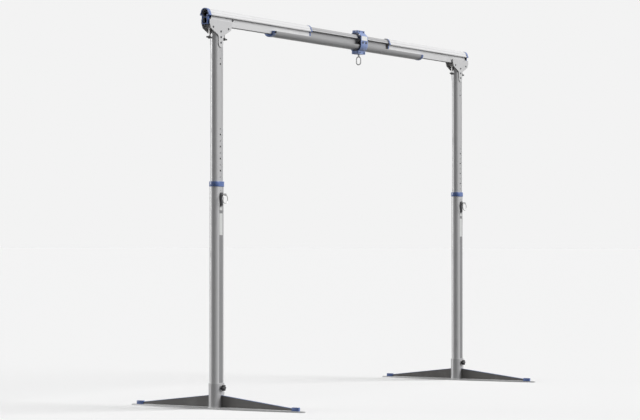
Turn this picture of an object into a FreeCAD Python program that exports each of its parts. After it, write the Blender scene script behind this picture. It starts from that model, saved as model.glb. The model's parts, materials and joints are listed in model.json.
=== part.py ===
"""Portable gantry crane: a telescopic beam on two uprights that slide for height, with a trolley on the beam.

The origin is on the floor, under the middle of the beam. X runs along the beam, Z is up.
Lengths are millimetres.
The front of the crane, where the height pins and foot knobs are, looks along -Y.
"""
import FreeCAD, Part
import math
import os
import Sketcher

SIZES = (
    ("beam_top", 2484, "floor to the top of the end beams"),
    ("beam_depth", 97, "height of an end beam's section"),
    ("beam_wall", 3.5, "wall of an end beam"),
    ("dome_radius", 27.5, "round top of an end beam"),
    ("brim_half", 33.5, "middle to the edge of the brim"),
    ("flare_drop", 36.5, "top down to the upper corner of the brim"),
    ("brim_drop", 43, "top down to the underside of the brim"),
    ("neck_half", 20, "half the width below the brim"),
    ("lip_thick", 4, "lips beside the bottom slot"),
    ("slot_half", 9.2, "half the width of the bottom slot"),
    ("end_beam_length", 1236, "one end beam"),
    ("stop_bolt_place", 282, "outer end of the beam to the stop bolt"),
    ("stop_bolt_drop", 54, "top of the beam down to the stop bolt"),
    ("stop_bolt_shank", 3.5, "radius of the stop bolt"),
    ("stop_bolt_head", 7, "radius of its button head"),
    ("rail_gap", 2.5, "rail's dome to the inside of the end beam"),
    ("rail_brim_half", 25.5, "half the width of the rail's brim"),
    ("rail_flare_drop", 32, "top of the end beam down to the rail's brim corner"),
    ("rail_brim_drop", 34, "top of the end beam down to the rail's brim underside"),
    ("rail_web_gap", 1, "rail's web to the lips beside it"),
    ("rail_wall", 3, "walls of the rail's hollow web and head"),
    ("centre_length", 2010, "centre beam"),
    ("ledge_drop", 78, "top of the end beam down to the ledges that the trolley rolls on"),
    ("sleeve_radius", 37, "half-round sleeve, outside"),
    ("sleeve_wall", 3.5, "its wall"),
    ("sleeve_floor", 4, "its floor, which carries the end beams"),
    ("sleeve_gap", 1, "ledges to the end beams' necks"),
    ("slide_gap", 0.3, "running gap under a sliding piece"),
    ("knob_gap", 1, "a knob to what it screws into"),
    ("edge_round", 1.5, "rounded edges of knobs, wheels and heads"),
    ("sleeve_end_length", 25, "end blocks of the sleeve"),
    ("sleeve_end_proud", 2, "how far they stand proud of the sleeve"),
    ("span_screw_radius", 4, "thumb screws of the end blocks"),
    ("span_knob_radius", 7.5, "their knobs"),
    ("span_knob_length", 9, "their knobs"),
    ("span_screw_drop", 8, "ledge down to the thumb screws"),
    ("cap_plate", 4, "face of the end caps"),
    ("cap_skirt", 22, "how far the caps reach over the beam"),
    ("cap_proud", 1.8, "how far caps and trims stand proud of the beam"),
    ("fit_gap", 0.15, "a fixed fit round a section"),
    ("cap_frame", 1.5, "how far the cap's frame covers the opening"),
    ("cap_bar_drop", 57, "top of the beam down to the cap's cross bar"),
    ("cap_bar_half", 2, "half the cross bar"),
    ("trim_length", 15, "trims round the inner ends of the end beams"),
    ("trim_foot", 6, "ledge up to the lower edge of the trims"),
    ("trolley_place", 141, "middle of the beam to the trolley, as photographed"),
    ("trolley_length", 94, "trolley along the beam"),
    ("trolley_half", 48, "half the trolley's width"),
    ("trolley_wall", 5.5, "cheeks of the trolley"),
    ("trolley_top", 23, "beam top up to the trolley's top"),
    ("trolley_roof", 16.5, "thickness of the top bar"),
    ("top_bar_half", 22, "half the width of the top bar"),
    ("top_bar_face", 14, "height of the top bar's face"),
    ("slope_shift", 2, "edge of the top bar to the edge of the roof inside"),
    ("lobe_half", 27, "half the width of the bottom flanges"),
    ("lobe_bottom", 63, "ledge down to the bottom of the flanges"),
    ("lobe_bolt_rise", 10, "bottom of the flanges up to their bolts"),
    ("lobe_cleft", 2, "half the cleft between the flanges"),
    ("lobe_cleft_depth", 4, "depth of that cleft"),
    ("wheel_radius", 15.5, "trolley wheels"),
    ("wheel_inner", 22.5, "middle of the beam to a wheel's inner face"),
    ("wheel_width", 14, "width of a wheel"),
    ("wheel_place", 22, "middle of the trolley to an axle"),
    ("axle_radius", 5, "trolley axles"),
    ("axle_head", 8, "radius of an axle's head"),
    ("running_fit", 0.1, "radial gap of a turning or sliding pin"),
    ("loose_fit", 0.3, "radial gap of a bolt in its hole"),
    ("trolley_bolt", 4, "radius of the trolley's bolts"),
    ("trolley_bolt_place", 30, "middle of the trolley to a bolt"),
    ("trolley_bolt_head", 6, "radius of a bolt's head"),
    ("trolley_bolt_head_height", 4, "a bolt's head"),
    ("axle_head_height", 3, "an axle's head"),
    ("eye_seat", 4, "metal under the load eye's head, above the cleft"),
    ("eye_head_radius", 11, "trapped head of the load eye"),
    ("eye_head_height", 6, "thickness of that head"),
    ("eye_shank_radius", 6, "shank of the load eye"),
    ("eye_top_drop", 76, "ledge down to the top of the eye's ring"),
    ("eye_wire", 4, "radius of the ring's bar"),
    ("eye_bend", 16.5, "radius of the ring's bends, at the middle of the bar"),
    ("eye_straight", 22, "length of the ring's straight sides"),
    ("upright_half_span", 1643, "middle of the beam to an upright"),
    ("overhang_left", 133, "left upright to the outer end of its beam"),
    ("overhang_right", 121, "right upright to the outer end of its beam"),
    ("inner_half_width", 49, "half the inner upright along the beam"),
    ("inner_half_depth", 28, "half the inner upright across the beam"),
    ("inner_wall", 3.5, "wall of the inner upright"),
    ("inner_bottom", 840, "floor to the foot of the inner upright, as photographed"),
    ("flat_recess", 0.8, "how far the uprights' flat faces are set in"),
    ("inner_flat_half", 18.5, "half the width of the inner upright's set-in face"),
    ("outer_flat_half", 20.5, "half the width of the outer upright's set-in face"),
    ("pin_height", 1331, "floor to the height pin"),
    ("hole_pitch", 75, "height holes"),
    ("holes_below", 4, "number of height holes below the pin"),
    ("holes_above", 5, "number of height holes above the pin"),
    ("hole_radius", 6.5, "height holes"),
    ("small_hole_radius", 4, "the small holes between them"),
    ("small_hole_rise", 35, "a height hole up to its small hole"),
    ("lowest_hole_drop", 216, "underside of the saddle down to the hole of the lowest setting"),
    ("tube_gap", 0.4, "inner upright to the inside of the outer one"),
    ("outer_wall", 4.1, "wall of the outer upright"),
    ("outer_rise", 77, "pin up to the top of the outer upright"),
    ("collar_skirt", 26, "top of the outer upright down to the foot of its collar"),
    ("collar_lid", 6, "top of the outer upright up to the top of its collar"),
    ("collar_wall", 2.8, "collar round the outer upright"),
    ("plate_thick", 4, "head plates"),
    ("plate_top", 29, "beam's bottom up to the top of the plates"),
    ("plate_half", 127, "half the plates' length"),
    ("plate_side", 24, "straight side of a plate"),
    ("plate_corner_half", 111, "where the plates' sides turn in"),
    ("plate_corner_drop", 55, "plates' top down to that corner"),
    ("plate_waist_half", 47, "where the plates narrow to their tails"),
    ("plate_waist_drop", 84, "plates' top down to that place"),
    ("plate_tail_half", 26, "half the width of a plate's tail"),
    ("plate_tail_drop", 104, "plates' top down to the tail's shoulder"),
    ("plate_drop", 167, "plates' top down to the end of the tail"),
    ("plate_waist_round", 25, "hollow curve from the waist to the tail"),
    ("saddle_half", 96, "half the saddle's length"),
    ("saddle_thick", 25, "saddle's floor"),
    ("saddle_cheek", 27, "saddle's cheeks above the beam's bottom"),
    ("bolt_radius", 4, "bolts of the head plates"),
    ("bolt_head_radius", 7, "their heads"),
    ("bolt_head_height", 4, "their heads"),
    ("side_bolt_place", 86, "upright to the bolts of the saddle"),
    ("side_bolt_drop", 45, "plates' top down to those bolts"),
    ("side_bolt_tip", 14, "middle of the upright to the tips of those bolts"),
    ("tail_bolt_first", 67, "plates' top down to the upper bolt of the tail"),
    ("tail_bolt_pitch", 35, "bolts of the tail"),
    ("tail_bolt_count", 3, "number of bolts in the tail"),
    ("clamp_place", 84, "upright to a clamp screw"),
    ("clamp_radius", 4.8, "clamp screws"),
    ("clamp_collar_radius", 10, "their collars"),
    ("clamp_collar_height", 4.5, "their collars"),
    ("clamp_handle_drop", 54, "saddle down to the middle of the handles"),
    ("clamp_tip", 2, "clamp nut up to the tip of its screw"),
    ("clamp_hub_half", 9, "half the hub of a T-handle"),
    ("clamp_handle_half", 30, "half a T-handle"),
    ("clamp_handle_radius", 5.5, "a T-handle"),
    ("clamp_hub_radius", 9, "hub of a T-handle"),
    ("nut_half_length", 12, "clamp nuts along the beam"),
    ("nut_side_gap", 1, "clamp nuts to the walls beside them"),
    ("nut_height", 10, "clamp nuts"),
    ("base_thick", 8, "base plate of a foot"),
    ("base_half_length", 645, "half the base plate"),
    ("base_half_width", 72, "half its width at the upright"),
    ("base_tip_half", 14, "half its width at the tips"),
    ("base_tip_round", 14, "rounding of the tips"),
    ("base_edge_radius", 6500, "bow of its long edges"),
    ("socket_wall", 5, "wall of the foot's socket"),
    ("socket_gap", 0.15, "outer upright to its socket"),
    ("socket_top", 159, "floor to the top of the socket"),
    ("gusset_thick", 9, "gusset plates"),
    ("gusset_top", 83, "floor to the gussets' top at the socket"),
    ("gusset_tip_height", 14, "height of a gusset's outer end above the base plate"),
    ("gusset_reach", 553, "upright to the outer end of a gusset"),
    ("edge_trim_thick", 2.5, "strip on a gusset's sloping edge"),
    ("edge_trim_half", 6, "half the width of that strip"),
    ("tip_block_length", 50, "blocks at the gussets' ends"),
    ("tip_block_half", 9, "half the width of those blocks"),
    ("tip_block_height", 22, "height of those blocks"),
    ("knob_height", 131, "floor to the foot knob"),
    ("knob_radius", 15, "foot knob without its lobes"),
    ("knob_lobe", 6, "radius of a lobe"),
    ("knob_thick", 18, "foot knob"),
    ("knob_stand_off", 7, "socket to the knob"),
    ("knob_stem", 5, "radius of the knob's stem"),
    ("knob_tip_gap", 0.3, "stem's tip to the outer upright"),
    ("boss_radius", 10, "threaded boss on the socket"),
    ("boss_height", 6, "threaded boss on the socket"),
    ("plug_radius", 6, "plug in the back of the socket"),
    ("plug_height", 4, "how far that plug stands off"),
    ("knob_lobes", 6, "lobes of the foot knob"),
    ("housing_half", 15, "half the width of the pin's housing"),
    ("housing_neck_half", 9, "half its width at the ends"),
    ("pin_head_gap", 0.9, "housing to the pin's outer end when the pin is in its hole"),
    ("housing_rise", 14, "pin up to the top of the housing"),
    ("pin_travel", 12, "parked pin to the pin in its hole"),
    ("housing_drop", 70, "pin down to the foot of the housing"),
    ("housing_shoulder", 18, "length of its tapered ends"),
    ("back_plate_half", 13, "half the width of the plate behind"),
    ("back_plate_low", 14, "pin down to the foot of that plate"),
    ("back_plate_high", 29, "pin up to the top of that plate"),
    ("sight_hole_rise", 25, "pin up to the small hole above its housing"),
    ("back_plate_depth", 4, "how far that plate stands off"),
    ("pin_radius", 6, "height pin"),
    ("pin_park_gap", 1.7, "parked pin's tip to the inner upright"),
    ("pin_head_radius", 7.5, "pin's round outer end"),
    ("pin_eye_place", 35, "parked pin's tip to the eye for its ring"),
    ("pin_eye_radius", 3.8, "that eye"),
    ("pin_head_half", 7, "half the length of the outer end"),
    ("ring_radius", 27, "pull ring, at the middle of its wire"),
    ("ring_wire", 2.5, "radius of the ring's wire"),
)

doc = FreeCAD.newDocument("portable_gantry_crane")
sheet = doc.addObject("Spreadsheet::Sheet", "sizes")
for row, (name, number, meaning) in enumerate(SIZES, 1):
    sheet.set("A%d" % row, name)
    sheet.set("B%d" % row, str(number))
    sheet.setAlias("B%d" % row, name)
    sheet.set("C%d" % row, meaning)
doc.recompute()


class Size:
    """A length: its value, and the formula on the sheet that the document keeps for it."""

    def __init__(self, value, formula):
        self.value = value
        self.formula = formula

    def __add__(self, other):
        other = size(other)
        return Size(self.value + other.value, "(%s + %s)" % (self.formula, other.formula))

    def __sub__(self, other):
        other = size(other)
        return Size(self.value - other.value, "(%s - %s)" % (self.formula, other.formula))

    def __mul__(self, other):
        other = size(other)
        return Size(self.value * other.value, "(%s * %s)" % (self.formula, other.formula))

    def __truediv__(self, other):
        other = size(other)
        return Size(self.value / other.value, "(%s / %s)" % (self.formula, other.formula))

    def __neg__(self):
        return Size(-self.value, "(0 - %s)" % self.formula)

    def __radd__(self, other):
        return size(other) + self

    def __rsub__(self, other):
        return size(other) - self

    __rmul__ = __mul__


def size(number):
    """A plain number as a Size."""
    return number if isinstance(number, Size) else Size(float(number), repr(float(number)))


def side_of(slant, side):
    """The other side of a right-angled triangle."""
    value = math.sqrt(slant.value**2 - side.value**2)
    return Size(value, "sqrt(%s - %s)" % ((slant * slant).formula, (side * side).formula))


class Sizes:
    """The sheet's rows by name, as in s.beam_top."""


s = Sizes()
for name, number, meaning in SIZES:
    setattr(s, name, Size(float(number), "sizes." + name))
ZERO = size(0)


def bind(thing, **values):
    """Ties properties of a document object to formulas."""
    for name, value in values.items():
        thing.setExpression(name, size(value).formula)


def place(thing, x=0, y=0, z=0, turn=0):
    """Moves a finished sub-part, turned about Z by whole degrees, to a place that follows the sheet."""
    thing.Placement = FreeCAD.Placement(FreeCAD.Vector(), FreeCAD.Rotation(FreeCAD.Vector(0, 0, 1), turn))
    for axis, value in (("x", x), ("y", y), ("z", z)):
        thing.setExpression("Placement.Base." + axis, size(value).formula)
    return thing


def arc(start, end, radius, turn):
    """An arc of under half a circle. A turn of 1 is counter-clockwise from start to end, -1 clockwise."""
    (ax, ay), (bx, by) = start, end
    chord = math.hypot(bx - ax, by - ay)
    rise = turn * math.sqrt(max(radius**2 - chord**2 / 4, 0))
    cx = (ax + bx) / 2 - rise * (by - ay) / chord
    cy = (ay + by) / 2 + rise * (bx - ax) / chord
    first = math.atan2(ay - cy, ax - cx)
    last = math.atan2(by - cy, bx - cx)
    if turn < 0:
        first, last = last, first
    circle = Part.Circle(FreeCAD.Vector(cx, cy, 0), FreeCAD.Vector(0, 0, 1), radius)
    return Part.ArcOfCircle(circle, first, last if last > first else last + 2 * math.pi)


def limit(sketch, name, value, *where):
    """Adds one driving constraint that follows the sheet."""
    kind, *where = where
    number = sketch.addConstraint(Sketcher.Constraint(kind, *where, size(value).value))
    sketch.renameConstraint(number, name)
    sketch.setExpression("Constraints." + name, size(value).formula)


def draw(sketch, points):
    """Draws a closed outline of points (x, y), or (x, y, radius, turn) where an arc leads on to the next."""
    flat = [(size(p[0]).value, size(p[1]).value) for p in points]
    first = sketch.GeometryCount
    ends = []
    for i, point in enumerate(points):
        here, there = flat[i], flat[(i + 1) % len(points)]
        if len(point) == 2:
            line = Part.LineSegment(FreeCAD.Vector(*here, 0), FreeCAD.Vector(*there, 0))
            sketch.addGeometry(line, False)
            ends.append((1, 2))
        else:
            radius, turn = point[2:]
            sketch.addGeometry(arc(here, there, size(radius).value, turn), False)
            ends.append((1, 2) if turn > 0 else (2, 1))
    for i, point in enumerate(points):
        edge = first + i
        before = (i - 1) % len(points)
        joint = Sketcher.Constraint("Coincident", first + before, ends[before][1], edge, ends[i][0])
        sketch.addConstraint(joint)
        limit(sketch, "x%d" % edge, point[0], "DistanceX", -1, 1, edge, ends[i][0])
        limit(sketch, "y%d" % edge, point[1], "DistanceY", -1, 1, edge, ends[i][0])
        if len(point) > 2:
            limit(sketch, "r%d" % edge, point[2], "Radius", edge)


def draw_circle(sketch, x, y, radius):
    """Draws one circle."""
    centre = FreeCAD.Vector(size(x).value, size(y).value, 0)
    edge = sketch.addGeometry(Part.Circle(centre, FreeCAD.Vector(0, 0, 1), size(radius).value), False)
    limit(sketch, "x%d" % edge, x, "DistanceX", -1, 1, edge, 3)
    limit(sketch, "y%d" % edge, y, "DistanceY", -1, 1, edge, 3)
    limit(sketch, "r%d" % edge, radius, "Radius", edge)


def new_body(label):
    """An empty sub-part."""
    body = doc.addObject("PartDesign::Body", label)
    body.Label = label
    return body


def new_sketch(body, plane, offset):
    """A sketch on one of the body's own planes, at an offset along that plane's normal."""
    sketch = body.newObject("Sketcher::SketchObject", "sketch_of_" + body.Label)
    support = [o for o in body.Origin.OriginFeatures if o.Role == plane + "_Plane"][0]
    sketch.AttachmentSupport = (support, [""])
    sketch.MapMode = "FlatFace"
    sketch.setExpression("AttachmentOffset.Base.z", size(offset).formula)
    return sketch


def shape_between(body, kind, plane, low, high, outlines=(), circles=()):
    """Pads or pockets outlines from low to high along the axis that the plane leaves out."""
    low, high = size(low), size(high)
    sketch = new_sketch(body, plane, -high if plane == "XZ" else low)
    for points in outlines:
        draw(sketch, points)
    for circle in circles:
        draw_circle(sketch, *circle)
    feature = body.newObject("PartDesign::" + kind, kind.lower() + "_of_" + body.Label)
    feature.Profile = sketch
    feature.Reversed = kind == "Pocket"
    bind(feature, Length=high - low)
    return feature


def pad(body, *where, **outlines):
    return shape_between(body, "Pad", *where, **outlines)


def pocket(body, *where, **outlines):
    return shape_between(body, "Pocket", *where, **outlines)


def turned(label, plane, points):
    """A turned piece about its plane's upright axis: Z for an XZ outline, Y for an XY one."""
    body = new_body(label)
    sketch = new_sketch(body, plane, 0)
    draw(sketch, points)
    feature = body.newObject("PartDesign::Revolution", "revolution_of_" + label)
    feature.Profile = sketch
    feature.ReferenceAxis = (sketch, ["V_Axis"])
    feature.Angle = 360
    return body


def block(x0, x1, y0, y1, z0, z1):
    """A plain block between the given planes."""
    thing = doc.addObject("Part::Box", "block")
    bind(thing, Length=size(x1) - x0, Width=size(y1) - y0, Height=size(z1) - z0)
    return place(thing, x0, y0, z0)


ALONG = {"X": FreeCAD.Vector(1, 0, 0), "Y": FreeCAD.Vector(0, 1, 0), "Z": FreeCAD.Vector(0, 0, 1)}


def rod(axis, radius, x, y, z, length):
    """A cylinder that starts at the given point and runs along an axis."""
    thing = doc.addObject("Part::Cylinder", "rod")
    thing.Placement = FreeCAD.Placement(FreeCAD.Vector(), FreeCAD.Rotation(ALONG["Z"], ALONG[axis]))
    bind(thing, Radius=radius, Height=length)
    for name, value in (("x", x), ("y", y), ("z", z)):
        thing.setExpression("Placement.Base." + name, size(value).formula)
    return thing


def joined(label, pieces):
    """One solid of several."""
    thing = doc.addObject("Part::MultiFuse", label)
    thing.Shapes = pieces
    thing.Refine = True
    thing.Label = label
    return thing


def less(label, base, tools):
    """A piece with others cut out of it."""
    thing = doc.addObject("Part::Cut", label)
    thing.Base = base
    thing.Tool = tools[0] if len(tools) == 1 else joined(label + "_cuts", tools)
    thing.Label = label
    return thing


def grouped(label, pieces):
    """Separate solids that share one node."""
    thing = doc.addObject("Part::Compound", label)
    thing.Links = pieces
    thing.Label = label
    return thing


# The beam's sections

def backwards(points):
    """The same open path, walked the other way."""
    path = []
    for i in range(len(points) - 1, -1, -1):
        curve = points[i - 1][2:] if i else ()
        path.append(points[i][:2] + ((curve[0], -curve[1]) if curve else ()))
    return path


def hat(neck, dome, tip, centre, flare, brim, bottom):
    """The outline of a beam's head, counter-clockwise from the foot of its right side."""
    return [
        (neck, bottom),
        (neck, brim),
        (tip, brim),
        (tip, flare),
        (dome, centre, dome, 1),
        (ZERO, centre + dome, dome, 1),
        (-dome, centre),
        (-tip, flare),
        (-tip, brim),
        (-neck, brim),
        (-neck, bottom),
    ]


dome_centre = s.beam_top - s.dome_radius
beam_bottom = s.beam_top - s.beam_depth
ledge_height = s.beam_top - s.ledge_drop
lip_top = beam_bottom + s.lip_thick
floor_top = beam_bottom - s.slide_gap
inner_neck = s.neck_half - s.beam_wall


def beam_outline(grow, bottom):
    """An end beam's outside, grown by a thickness."""
    return hat(
        s.neck_half + grow,
        s.dome_radius + grow,
        s.brim_half + grow,
        dome_centre,
        s.beam_top - s.flare_drop,
        s.beam_top - s.brim_drop - grow,
        bottom,
    )


def beam_inside(inset, bottom):
    """An end beam's cavity, drawn in by an inset."""
    return hat(
        inner_neck - inset,
        s.dome_radius - s.beam_wall - inset,
        s.brim_half - s.beam_wall - inset,
        dome_centre,
        s.beam_top - s.flare_drop,
        s.beam_top - s.brim_drop + s.beam_wall + inset,
        bottom,
    )


def end_beam(label):
    """The outer extrusion, open along its bottom. Its outer end is at X = 0 and it runs along +X.

    Its head and its two walls are solids that meet at the underside of the brim, so that its collision pieces
    keep the recess that the trolley's wheels run in.
    """
    brim = s.beam_top - s.brim_drop
    head = new_body(label + "_head")
    outside = beam_outline(ZERO, brim)[1:-1]
    pad(head, "YZ", 0, s.end_beam_length, outlines=[outside + backwards(beam_inside(ZERO, brim))])
    walls = []
    for side, name in ((-1, "front"), (1, "rear")):
        wall = new_body("%s_%s" % (label, name))
        outline = [
            (side * s.slot_half, beam_bottom),
            (side * s.neck_half, beam_bottom),
            (side * s.neck_half, brim),
            (side * inner_neck, brim),
            (side * inner_neck, lip_top),
            (side * s.slot_half, lip_top),
        ]
        pad(wall, "YZ", 0, s.end_beam_length, outlines=[outline])
        walls.append(wall)
    hole = (s.stop_bolt_place, s.beam_top - s.stop_bolt_drop, s.stop_bolt_shank + s.loose_fit)
    pocket(walls[0], "XZ", -s.neck_half, -inner_neck, circles=[hole])
    return grouped(label, [head] + walls)


def end_cap(label):
    """The blue open cap: a frame with one cross bar in front of the beam, and a skirt over it."""
    body = new_body(label)
    outside = beam_outline(s.cap_proud, beam_bottom - s.cap_proud)
    bar = s.beam_top - s.cap_bar_drop
    upper = beam_inside(s.cap_frame, bar + s.cap_bar_half)
    half = inner_neck - s.cap_frame
    lower = [
        (-half, lip_top),
        (half, lip_top),
        (half, bar - s.cap_bar_half),
        (-half, bar - s.cap_bar_half),
    ]
    pad(body, "YZ", -s.cap_plate, 0, outlines=[outside, upper, lower])
    inside = beam_outline(s.fit_gap, beam_bottom - s.fit_gap)
    pad(body, "YZ", 0, s.cap_skirt, outlines=[outside, inside])
    return body


def beam_trim(label):
    """The blue band round the beam's inner end, above the sleeve's ledges."""
    body = new_body(label)
    foot = ledge_height + s.trim_foot
    section = beam_outline(s.cap_proud, foot)
    section += backwards(beam_outline(s.fit_gap, foot))
    pad(body, "YZ", s.end_beam_length - s.trim_length, s.end_beam_length, outlines=[section])
    return body


def stop_bolt(label):
    """The button-head bolt in the beam's side that keeps it from being pushed in too far."""
    head = rod(
        "Y",
        s.stop_bolt_head,
        s.stop_bolt_place,
        -s.neck_half - s.bolt_head_height,
        s.beam_top - s.stop_bolt_drop,
        s.bolt_head_height,
    )
    shank = rod(
        "Y",
        s.stop_bolt_shank,
        s.stop_bolt_place,
        -s.neck_half - s.bolt_head_height,
        s.beam_top - s.stop_bolt_drop,
        s.bolt_head_height + s.beam_wall,
    )
    return joined(label, [head, shank])


def centre_beam():
    """The inner extrusion: a small head on a web that rises from the half-round sleeve.

    Sleeve, web and head are solids that meet face to face, so that its collision pieces keep the flat ledges.
    """
    sleeve, web, head = [new_body("centre_beam_" + name) for name in ("sleeve", "web", "head")]
    half = s.centre_length / 2
    web_half = s.slot_half - s.rail_web_gap
    ledge = s.neck_half + s.sleeve_gap
    bore = s.sleeve_radius - s.sleeve_wall
    lip = ledge_height - s.sleeve_wall
    lip_reach = side_of(bore, s.sleeve_wall)
    floor_reach = side_of(bore, ledge_height - floor_top)
    trough = [
        (-s.sleeve_radius, ledge_height, s.sleeve_radius, 1),
        (ZERO, ledge_height - s.sleeve_radius, s.sleeve_radius, 1),
        (s.sleeve_radius, ledge_height),
        (ledge, ledge_height),
        (ledge, lip),
        (lip_reach, lip, bore, -1),
        (floor_reach, floor_top),
        (-floor_reach, floor_top, bore, -1),
        (-lip_reach, lip),
        (-ledge, lip),
        (-ledge, ledge_height),
    ]
    under = ledge_height - floor_top + s.sleeve_floor
    cell_reach = side_of(bore, under)
    cell = [
        (-cell_reach, ledge_height - under, bore, 1),
        (ZERO, ledge_height - bore, bore, 1),
        (cell_reach, ledge_height - under),
    ]
    pad(sleeve, "YZ", -half, half, outlines=[trough, cell])
    web_bore = web_half - s.rail_wall
    brim = s.beam_top - s.rail_brim_drop
    channel = [
        (-web_half, floor_top),
        (web_half, floor_top),
        (web_half, brim),
        (web_bore, brim),
        (web_bore, floor_top + s.rail_wall),
        (-web_bore, floor_top + s.rail_wall),
        (-web_bore, brim),
        (-web_half, brim),
    ]
    pad(web, "YZ", -half, half, outlines=[channel])
    dome = s.dome_radius - s.beam_wall - s.rail_gap
    head_bore = dome - s.rail_wall
    outside = hat(web_half, dome, s.rail_brim_half, dome_centre, s.beam_top - s.rail_flare_drop, brim, brim)
    head_cell = [
        (-head_bore, brim + s.rail_wall),
        (head_bore, brim + s.rail_wall),
        (head_bore, dome_centre, head_bore, 1),
        (ZERO, dome_centre + head_bore, head_bore, 1),
        (-head_bore, dome_centre),
    ]
    pad(head, "YZ", -half, half, outlines=[outside[2:-2], head_cell])
    return grouped("centre_beam", [sleeve, web, head])


def sleeve_end(label):
    """The blue end block of the sleeve, which guides the end beam. It starts at X = 0 and runs along +X."""
    body = new_body(label)
    radius = s.sleeve_radius + s.sleeve_end_proud
    slot = s.neck_half + s.sleeve_gap
    section = [
        (-radius, ledge_height, radius, 1),
        (ZERO, ledge_height - radius, radius, 1),
        (radius, ledge_height),
        (slot, ledge_height),
        (slot, floor_top),
        (-slot, floor_top),
        (-slot, ledge_height),
    ]
    pad(body, "YZ", 0, s.sleeve_end_length, outlines=[section])
    hole = (s.sleeve_end_length / 2, ledge_height - s.span_screw_drop, s.span_screw_radius + s.running_fit)
    pocket(body, "XZ", -radius, -slot, circles=[hole])
    return body


def span_screw(label):
    """The thumb screw in the end block. Its tip is at Y = 0 and its knob points along -Y."""
    knob_start = s.sleeve_radius + s.sleeve_end_proud + s.knob_gap - s.neck_half - s.slide_gap
    knob_end = knob_start + s.span_knob_length
    edge = s.span_knob_radius - s.edge_round
    points = [
        (ZERO, ZERO),
        (ZERO, -knob_end),
        (edge, -knob_end),
        (s.span_knob_radius, -knob_end + s.edge_round),
        (s.span_knob_radius, -knob_start),
        (s.span_screw_radius, -knob_start),
        (s.span_screw_radius, ZERO),
    ]
    return turned(label, "XY", points)


# The trolley, about its own middle

wheel_height = ledge_height + s.slide_gap + s.wheel_radius
trolley_inner = s.trolley_half - s.trolley_wall
lobe_floor = ledge_height - s.lobe_bottom
eye_head_foot = lobe_floor + s.lobe_cleft_depth + s.eye_seat
trolley_bolt_top = s.beam_top + s.trolley_top - s.trolley_roof / 2
trolley_bolt_foot = lobe_floor + s.lobe_bolt_rise
axle_shoulder = trolley_inner - s.wheel_inner - s.wheel_width - s.slide_gap


def trolley_shell(label):
    """The front half shell. The rear one is the same casting, turned round."""
    body = new_body(label)
    top = s.beam_top + s.trolley_top
    face = top - s.top_bar_face
    slope_foot = face - (s.trolley_half - s.top_bar_half)
    roof = top - s.trolley_roof
    roof_half = s.top_bar_half - s.slope_shift
    inner_foot = roof - (trolley_inner - roof_half)
    lobe_root = ledge_height - side_of(s.trolley_half, s.lobe_half)
    section = [
        (ZERO, top),
        (-s.top_bar_half, top),
        (-s.top_bar_half, face),
        (-s.trolley_half, slope_foot),
        (-s.trolley_half, ledge_height, s.trolley_half, 1),
        (-s.lobe_half, lobe_root),
        (-s.lobe_half, lobe_floor),
        (-s.lobe_cleft, lobe_floor),
        (-s.lobe_cleft, lobe_floor + s.lobe_cleft_depth),
        (ZERO, lobe_floor + s.lobe_cleft_depth),
        (ZERO, ledge_height - trolley_inner, trolley_inner, -1),
        (-trolley_inner, ledge_height),
        (-trolley_inner, inner_foot),
        (-roof_half, roof),
        (ZERO, roof),
    ]
    half = s.trolley_length / 2
    pad(body, "YZ", -half, half, outlines=[section])
    axle_hole = s.axle_radius + s.fit_gap
    axles = [(side * s.wheel_place, wheel_height, axle_hole) for side in (-1, 1)]
    pocket(body, "XZ", -s.trolley_half, -trolley_inner, circles=axles)
    bolt_hole = s.trolley_bolt + s.fit_gap
    bolts = []
    for side in (-1, 1):
        bolts.append((side * s.trolley_bolt_place, trolley_bolt_top, bolt_hole))
        bolts.append((side * s.trolley_bolt_place, trolley_bolt_foot, bolt_hole))
    pocket(body, "XZ", -s.lobe_half, 0, circles=bolts)
    shank = [(ZERO, ZERO, s.eye_shank_radius + s.loose_fit)]
    pocket(body, "XY", lobe_floor, eye_head_foot, circles=shank)
    head = [(ZERO, ZERO, s.eye_head_radius + s.loose_fit)]
    pocket(body, "XY", eye_head_foot, eye_head_foot + s.eye_head_height + 2 * s.loose_fit, circles=head)
    return body


def through_bolt(x, z, reach, radius, head_radius, head_height):
    """A bolt along Y through everything up to the reach each way, with its head and its nut."""
    shank = rod("Y", radius, x, -reach, z, 2 * reach)
    head = rod("Y", head_radius, x, -reach - head_height, z, head_height)
    nut = rod("Y", head_radius, x, reach, z, head_height)
    return joined("bolt", [shank, head, nut])


def trolley_bolts(label):
    """Two bolts through the top bar and two through the bottom flanges."""
    bolts = []
    for side in (-1, 1):
        x = side * s.trolley_bolt_place
        for z, reach in ((trolley_bolt_top, s.top_bar_half), (trolley_bolt_foot, s.lobe_half)):
            head = (s.trolley_bolt_head, s.trolley_bolt_head_height)
            bolts.append(through_bolt(x, z, reach, s.trolley_bolt, *head))
    return grouped(label, bolts)


def trolley_axles(label):
    """Four stub axles, headed outside the cheeks, with a washer that keeps each wheel on."""
    axles = []
    for side in (-1, 1):
        for front in (-1, 1):
            inner = front * (s.wheel_inner + s.slide_gap)
            outer = front * s.trolley_half
            low, length = (outer, inner - outer) if front < 0 else (inner, outer - inner)
            x = side * s.wheel_place
            pin = rod("Y", s.axle_radius, x, low, wheel_height, length)
            shoulder_low = outer + s.trolley_wall if front < 0 else outer - s.trolley_wall - axle_shoulder
            shoulder = rod("Y", s.axle_head, x, shoulder_low, wheel_height, axle_shoulder)
            head_low = outer - s.axle_head_height if front < 0 else outer
            head = rod("Y", s.axle_head, x, head_low, wheel_height, s.axle_head_height)
            axles.append(joined("axle", [pin, shoulder, head]))
    return grouped(label, axles)


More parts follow.
